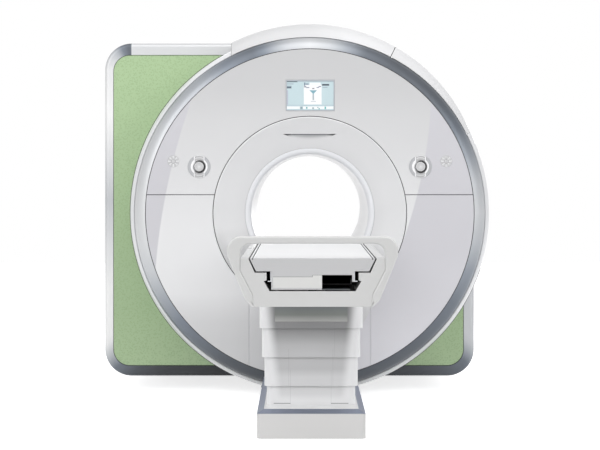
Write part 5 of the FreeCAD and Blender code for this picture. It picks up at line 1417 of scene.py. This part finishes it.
GROOVE_R, KNOB_R, STEM_R = 0.035, 0.028, 0.008
DISH_BACK = FACE_Y + 0.019
ARM_IN, ARM_START = 0.0505, 0.032
for side, name in ((-1, "left"), (1, "right")):
    low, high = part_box("control_housing_" + name)
    centre = ((low[0] + high[0]) / 2, (low[2] + high[2]) / 2)
    keys = [key_line(centre, way, 0.0255, 0.0375, 0.0635) for way in (1, -1)]
    lines = [circle(*centre, CONTROL_R, 96), circle(*centre, GROOVE_R, 64), *keys]
    dish = plate(lines, FACE_Y - 0.0008, DISH_BACK, 0.0006, 1)
    lines = [circle(*centre, CONTROL_R - 0.001, 64), circle(*centre, STEM_R + 0.0005, 32)]
    dish_floor = plate(lines, DISH_BACK, high[1], 0.0004, 1)
    arms = []
    for way in (-1, 1):
        far, near = (math.degrees(math.asin(ARM_START / radius)) for radius in (CONTROL_R, ARM_IN))
        line = arc(centre, CONTROL_R, way * far, way * (180 - far), 24)
        line += arc(centre, ARM_IN, way * (180 - near), way * near, 20)
        arms.append(plate([line], low[1], FACE_Y + 0.001, 0.0007))
    piece("dish_" + name, joined(dish, dish_floor), "control_grey", "control_housing_" + name,
          material=moulded("dish " + name, control_field(DISH_TONES, side), 0.4))
    piece("arms_" + name, joined(*arms), "control_grey")
    for way, word in ((1, "up"), (-1, "down")):
        node = word + "_key_" + name
        key = plate([key_line(centre, way)], *depths(node), 0.0012, 3)
        piece(node.replace("key", "cap"), key, "key_white", node, body=name + "_" + word + "_key",
              material=moulded(node, control_field(KEY_TONES, side), 0.4))
    front, back = depths("control_knob_" + name)
    profile = [(0.0001, front + 0.0016), (0.012, front + 0.0012), (0.019, front + 0.0004), (0.0235, front)]
    profile = through(profile, (KNOB_R - 0.0013, front + 0.0013), (KNOB_R, front + 0.0045), 8)
    profile += [(KNOB_R, FACE_Y + 0.0187), (STEM_R, FACE_Y + 0.0187), (STEM_R, back), (0.0001, back)]
    piece("knob_" + name, turned(profile, 64, centre=centre), "knob_grey", "control_knob_" + name,
          body=name + "_knob", material=moulded("knob " + name, knob_highlight_field(side), 0.35))
print("control units at", round(centre[0], 4), round(centre[1], 4))

# %% Loudspeaker grilles
HOLE_R = 0.004
grille_low, grille_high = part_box("speaker_grilles")
z, back = (grille_low[2] + grille_high[2]) / 2, grille_high[1]
for side, name, replaced in ((-1, "left", ["speaker_grilles"]), (1, "right", [])):
    x = side * (grille_high[0] - GRILLE_R)
    loops = [circle(x, z, GRILLE_R, 64), circle(x, z, HOLE_R, 16)]
    for ring, count in ((0.0125, 6), (0.025, 8)):
        for i in range(count):
            turn = 2 * math.pi * i / count
            loops.append(circle(x + ring * math.sin(turn), z + ring * math.cos(turn), HOLE_R, 16))
    cloth = plate([loops[0]], back + 0.0001, back + 0.0011, 0.0003, 1)
    cover = plate(loops, grille_low[1], back, 0.0005, 1)
    piece("grille_" + name, joined(cover, cloth), "grille_white", *replaced,
          material=moulded("grille " + name, grille_field(side), 0.5))
print("grille holes:", len(loops) - 1)

# %% [markdown]
# ## Patient table
# The table body is one long trough with slanted flanks, so its section is drawn once and pulled along Y. The
# tabletop is drawn the same way, then its keel is hollowed and two accessory slots are cut with booleans.

# %% Table body and capping strips
body_low, body_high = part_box("table_body")
top_low, top_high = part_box("tabletop")
FOOT_Y, HEAD_Y, TABLE_BOTTOM = body_low[1], body_high[1], body_low[2]
TOP_HALF, TOP_Y0, TOP_Y1, TOP_Z = top_high[0], top_low[1], top_high[1], top_high[2]
TOP_EDGE_HALF, TOP_T, KEEL_DEPTH = 0.252, 0.058, 0.082
BODY_HALF, CREASE_LOW_HALF, FLOOR_HALF = 0.322, 0.266, 0.262
UNDER = TOP_Z - TOP_T
KEEL_BOTTOM = UNDER - KEEL_DEPTH
CREASE_Z, CREASE_LOW_Z = TOP_Z - 0.054, TOP_Z - 0.162
GAP, END_WALL = 0.006, 0.010
CAP_H = 0.022
CAP_Z = TOP_Z - CAP_H
TOP_SLANT = (TOP_HALF - TOP_EDGE_HALF) / TOP_T
CAP_IN = TOP_HALF + GAP - TOP_SLANT * CAP_H
TROUGH_HALF, LEDGE_IN, CHANNEL = 0.192, 0.225, 0.205
TROUGH_FLOOR = TABLE_BOTTOM + 0.008
WALL_LAP = 0.0042
ledge, shelf = UNDER - GAP, UNDER - GAP - 0.034
half_line = [(FLOOR_HALF, TABLE_BOTTOM, 0.003), (CREASE_LOW_HALF, CREASE_LOW_Z, 0.05),
             (BODY_HALF, CREASE_Z, 0.02), (BODY_HALF, CAP_Z, 0.0005), (CAP_IN, CAP_Z, 0.0005),
             (TOP_EDGE_HALF + GAP, ledge, 0.001),
             (CHANNEL, ledge, 0.001), (CHANNEL, shelf, 0.001), (CHANNEL + 0.012, shelf - 0.004, 0.001),
             (TROUGH_HALF, KEEL_BOTTOM - GAP, 0.001), (TROUGH_HALF, TROUGH_FLOOR, 0.001)]
trough_parts = [plate([rounded(half_line + flipped(half_line), 5)], FOOT_Y + END_WALL - WALL_LAP,
                      HEAD_Y - END_WALL + WALL_LAP)]
end_line = half_line[:3] + [(BODY_HALF, TOP_Z, 0.004), (TOP_HALF + GAP, TOP_Z, 0.002)] + half_line[5:-1]
end_line += flipped(end_line)
trough_parts += [plate([rounded(end_line, 5)], y, y + END_WALL) for y in (FOOT_Y, HEAD_Y - END_WALL)]
for side in (-1, 1):
    trough_parts.append(brick(*on_side(side, LEDGE_IN, LEDGE_IN + 0.020), FOOT_Y + 0.060, HEAD_Y, ledge,
                              UNDER - 0.0003))
    for y in (FOOT_Y + 0.174, HEAD_Y - 0.160):
        trough_parts.append(brick(*on_side(side, 0.046, 0.054), y - 0.020, y + 0.020, TABLE_BOTTOM + 0.002,
                                  TABLE_BOTTOM + 0.0585))
piece("table_trough", joined(*trough_parts), "table_white", "table_body", body="table_carriage")
seat = CAP_Z + 0.0004
line = rounded([(TOP_HALF + GAP, TOP_Z, 0.002), (BODY_HALF, TOP_Z, 0.004), (BODY_HALF, seat, 0.0005),
                (CAP_IN, seat, 0.0005)], 4)
strips = [plate([one], FOOT_Y + END_WALL + HAIR, HEAD_Y - END_WALL - HAIR, 0.001)
          for one in (line, flipped(line))]
piece("capping_strips", joined(*strips), "table_white", "table_side_covers", body="table_carriage")
# Painted shade: dark strips in the gaps beside the tabletop stand in for the shade in them.
high, low = (TOP_HALF - depth * TOP_SLANT for depth in (0.0025, 0.012))
line = [(high + 0.0006, TOP_Z - 0.0025), (high + GAP - 0.0002, TOP_Z - 0.0025),
        (low + GAP - 0.0002, TOP_Z - 0.012), (low + 0.0006, TOP_Z - 0.012)]
shade_strips = [plate([one], FOOT_Y + 0.002, HEAD_Y - 0.002, 0.0002, 1) for one in (line, flipped(line))]
piece("edge_shade_strips", joined(*shade_strips), "belt_rubber", body="table_carriage")
print("table from", round(FOOT_Y, 3), "to", round(HEAD_Y, 3))

# %% Tabletop
half_line = [(KEEL_HALF, KEEL_BOTTOM, 0.002), (KEEL_HALF, UNDER, 0.001), (TOP_EDGE_HALF, UNDER, 0.002),
             (TOP_HALF, TOP_Z, 0.003)]
slab = plate([rounded(half_line + flipped(half_line), 4)], TOP_Y0, TOP_Y1)
side_x, low = KEEL_HALF - 0.008, KEEL_BOTTOM + 0.008
shelf, roof = low + 0.0503, UNDER - 0.016
before, hollow_end, mouth_end = TOP_Y0 - 0.02, TOP_Y1 - 0.02, TOP_Y0 + 0.300
hollows = [(-side_x, side_x, before, hollow_end, low, shelf),
           (-0.0013, side_x, before, hollow_end, shelf - 0.002, roof),
           (0.042, KEEL_HALF + 0.02, before, mouth_end, KEEL_BOTTOM + 0.003, low + 0.002),
           (side_x - 0.008, KEEL_HALF + 0.02, before, mouth_end, KEEL_BOTTOM - 0.02, KEEL_BOTTOM + 0.036)]
hollows += [(*on_side(side, SLOT_IN, SLOT_OUT), before, TOP_Y1 + 0.02, TOP_Z - 0.006, TOP_Z + 0.02)
            for side in (-1, 1)]
slab = cut(slab, *(brick(*limits, 0.0002, 1) for limits in hollows))
clamp = brick(-0.020, 0.020, FOOT_Y + 0.234, FOOT_Y + 0.294, TROUGH_FLOOR + 0.0586, KEEL_BOTTOM + 0.001)
piece("top_slab", joined(slab, clamp), "tabletop_white", "tabletop", body="patient_top")
print("tabletop", round(2 * TOP_HALF, 3), "m wide")

# %% Foot end
low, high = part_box("foot_end_cover")
line = [(low[0], low[2]), (high[0], low[2]), (high[0], high[2]), (-0.001, high[2]), (-0.001, low[2] + 0.050),
        (low[0], low[2] + 0.050)]
piece("keel_cover", plate([line], low[1], high[1], 0.0008), "table_white", "foot_end_cover",
      body="patient_top", material=KEEL_COVER_WHITE)
low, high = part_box("hold_down_brackets")
top, thin, foot = UNDER - 0.0004, 0.004, 0.016
line = [(KEEL_HALF, top), (KEEL_HALF, low[2]), (KEEL_HALF + foot, low[2]), (KEEL_HALF + foot, low[2] + thin),
        (KEEL_HALF + thin, low[2] + thin), (KEEL_HALF + thin, top)]
brackets = [plate([one], low[1], high[1], 0.0006) for one in (flipped(line), line)]
piece("brackets", joined(*brackets), "bracket_steel", "hold_down_brackets", body="patient_top")

low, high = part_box("loop_handle")
LOOP_HALF, LOOP_TOP, LOOP_LOW_HALF, LOOP_BAR = high[0], high[2], 0.298, 0.033
LOOP_LOW_Z, LOOP_WIDE_Z = TOP_Z - 0.188, TOP_Z + 0.013
outside = [(FLOOR_HALF - 0.004, TABLE_BOTTOM, 0.0), (FLOOR_HALF + 0.008, TABLE_BOTTOM, 0.003),
           (LOOP_LOW_HALF, LOOP_LOW_Z, 0.012), (LOOP_HALF, LOOP_WIDE_Z, 0.06), (LOOP_HALF, LOOP_TOP, 0.062)]
inside = [(BODY_HALF, LOOP_TOP - LOOP_BAR, 0.046), (BODY_HALF, CREASE_Z, 0.02),
          (CREASE_LOW_HALF, CREASE_LOW_Z, 0.02), (CREASE_LOW_HALF - 0.004, CREASE_LOW_Z - 0.026, 0.0)]
line = rounded(outside + flipped(outside) + flipped(inside) + inside, 12)
rail = plate([line], low[1], high[1], 0.010, 5)
piece("loop_rail", rail, "table_white", "loop_handle", body="table_carriage")
print("loop", round(2 * LOOP_HALF, 3), "m wide")

# %% [markdown]
# ## Column and plinth
# Four sleeves slide into each other. Each is a thin shell with round corners, a little smaller than the one
# above it, and runs on small pads near its top. The plinth has bevelled corners and a sloping metal strip
# round its deck.

# %% Sleeves
SLEEVE_BODIES = ("table_carriage", "second_sleeve", "third_sleeve", "scanner")
PAD_PROUD, PAD_H, WALL = 0.0082, 0.030, 0.004
for index, body in enumerate(SLEEVE_BODIES):
    node = "column_sleeve_" + str(index + 1)
    low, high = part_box(node)
    proud = PAD_PROUD if index else 0.0
    half, y0, y1, top = high[0] - proud, low[1] + proud, high[1] - proud, high[2]
    radius = 0.038 - index * 0.004
    lines = [rounded(rectangle(inset - half, half - inset, y0 + inset, y1 - inset, radius - inset), 10)
             for inset in (0.0, WALL)]
    parts = [plate(lines, low[2], top - 0.0001, 0.0012, 2, upright=True)]
    if index == 0:
        recess = box_line(0, (RECESS_LOW + RECESS_HIGH) / 2, 0.376, RECESS_HIGH - RECESS_LOW, 0.006)
        parts = [cut(parts[0], plate([recess], y0 - 0.01, y0 + 0.002, 0.0005, 1))]
    else:
        for x in (-half / 2, half / 2):
            for y, far in ((y0 - proud, y0), (y1, y1 + proud)):
                parts.append(brick(x - 0.030, x + 0.030, y, far, top - PAD_H, top))
        for y in (y0 + 0.120, (y0 + y1) / 2 - 0.030, y1 - 0.180):
            for x, far in ((-half - proud, -half), (half, half + proud)):
                parts.append(brick(x, far, y, y + 0.060, top - PAD_H, top))
    piece("sleeve_" + str(index + 1), joined(*parts), "sleeve_white", node, body=body)
print("sleeves:", len(SLEEVE_BODIES))

# %% Plinth and its metal strip
low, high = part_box("table_base")
PLINTH_H, DECK_Z, TRIM_W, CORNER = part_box("base_trim")[0][2], high[2], 0.035, 0.016
x1, y0, y1 = high[0], low[1], high[1]
half_line = [(x1 - CORNER, y0), (x1, y0 + CORNER), (x1, y1 - CORNER), (x1 - CORNER, y1)]
foot = plate([half_line + flipped(half_line)], 0.0, PLINTH_H, 0.0015, 2, upright=True)
deck = brick(TRIM_W - x1, x1 - TRIM_W, y0 + TRIM_W, y1 - TRIM_W, PLINTH_H - 0.002, DECK_Z, 0.0008)
piece("plinth", joined(foot, deck), "base_white", "table_base")
levels = []
for inset, z in ((0.0, PLINTH_H + 0.0002), (TRIM_W - 0.001, DECK_Z), (TRIM_W - 0.0002, DECK_Z),
                 (TRIM_W - 0.0002, PLINTH_H + 0.0002)):
    levels.append((rectangle(inset - x1, x1 - inset, y0 + inset, y1 - inset), z))
piece("metal_strip", bevelled(stacked(levels, upright=True), 0.0008, 2, 20), "trim_metal", "base_trim")
print("plinth height", round(PLINTH_H, 3))

# %% [markdown]
# ## Floor
# A pale floor under the scanner. For the camera a little light is added to it, so that it meets the white
# background, while the soft shadow of the feet stays on it.

# %% Floor
FLOOR_REACH = 14.0
floor_corners = rectangle(-FLOOR_REACH, FLOOR_REACH, -FLOOR_REACH, FLOOR_REACH, 0)
floor = linked("floor", mesh_from(floor_corners, [(0, 1, 2, 3)]))
floor_material, tree, sockets = new_material("pale floor")
sockets["Base Color"].default_value = (0.86, 0.86, 0.86, 1)
sockets["Roughness"].default_value = 0.9
sockets["Emission Color"].default_value = (1, 1, 1, 1)
feed(sockets["Emission Strength"], looked_at(tree) * 0.72)
floor.data.materials.append(floor_material)
print("floor", FLOOR_REACH * 2, "m wide")
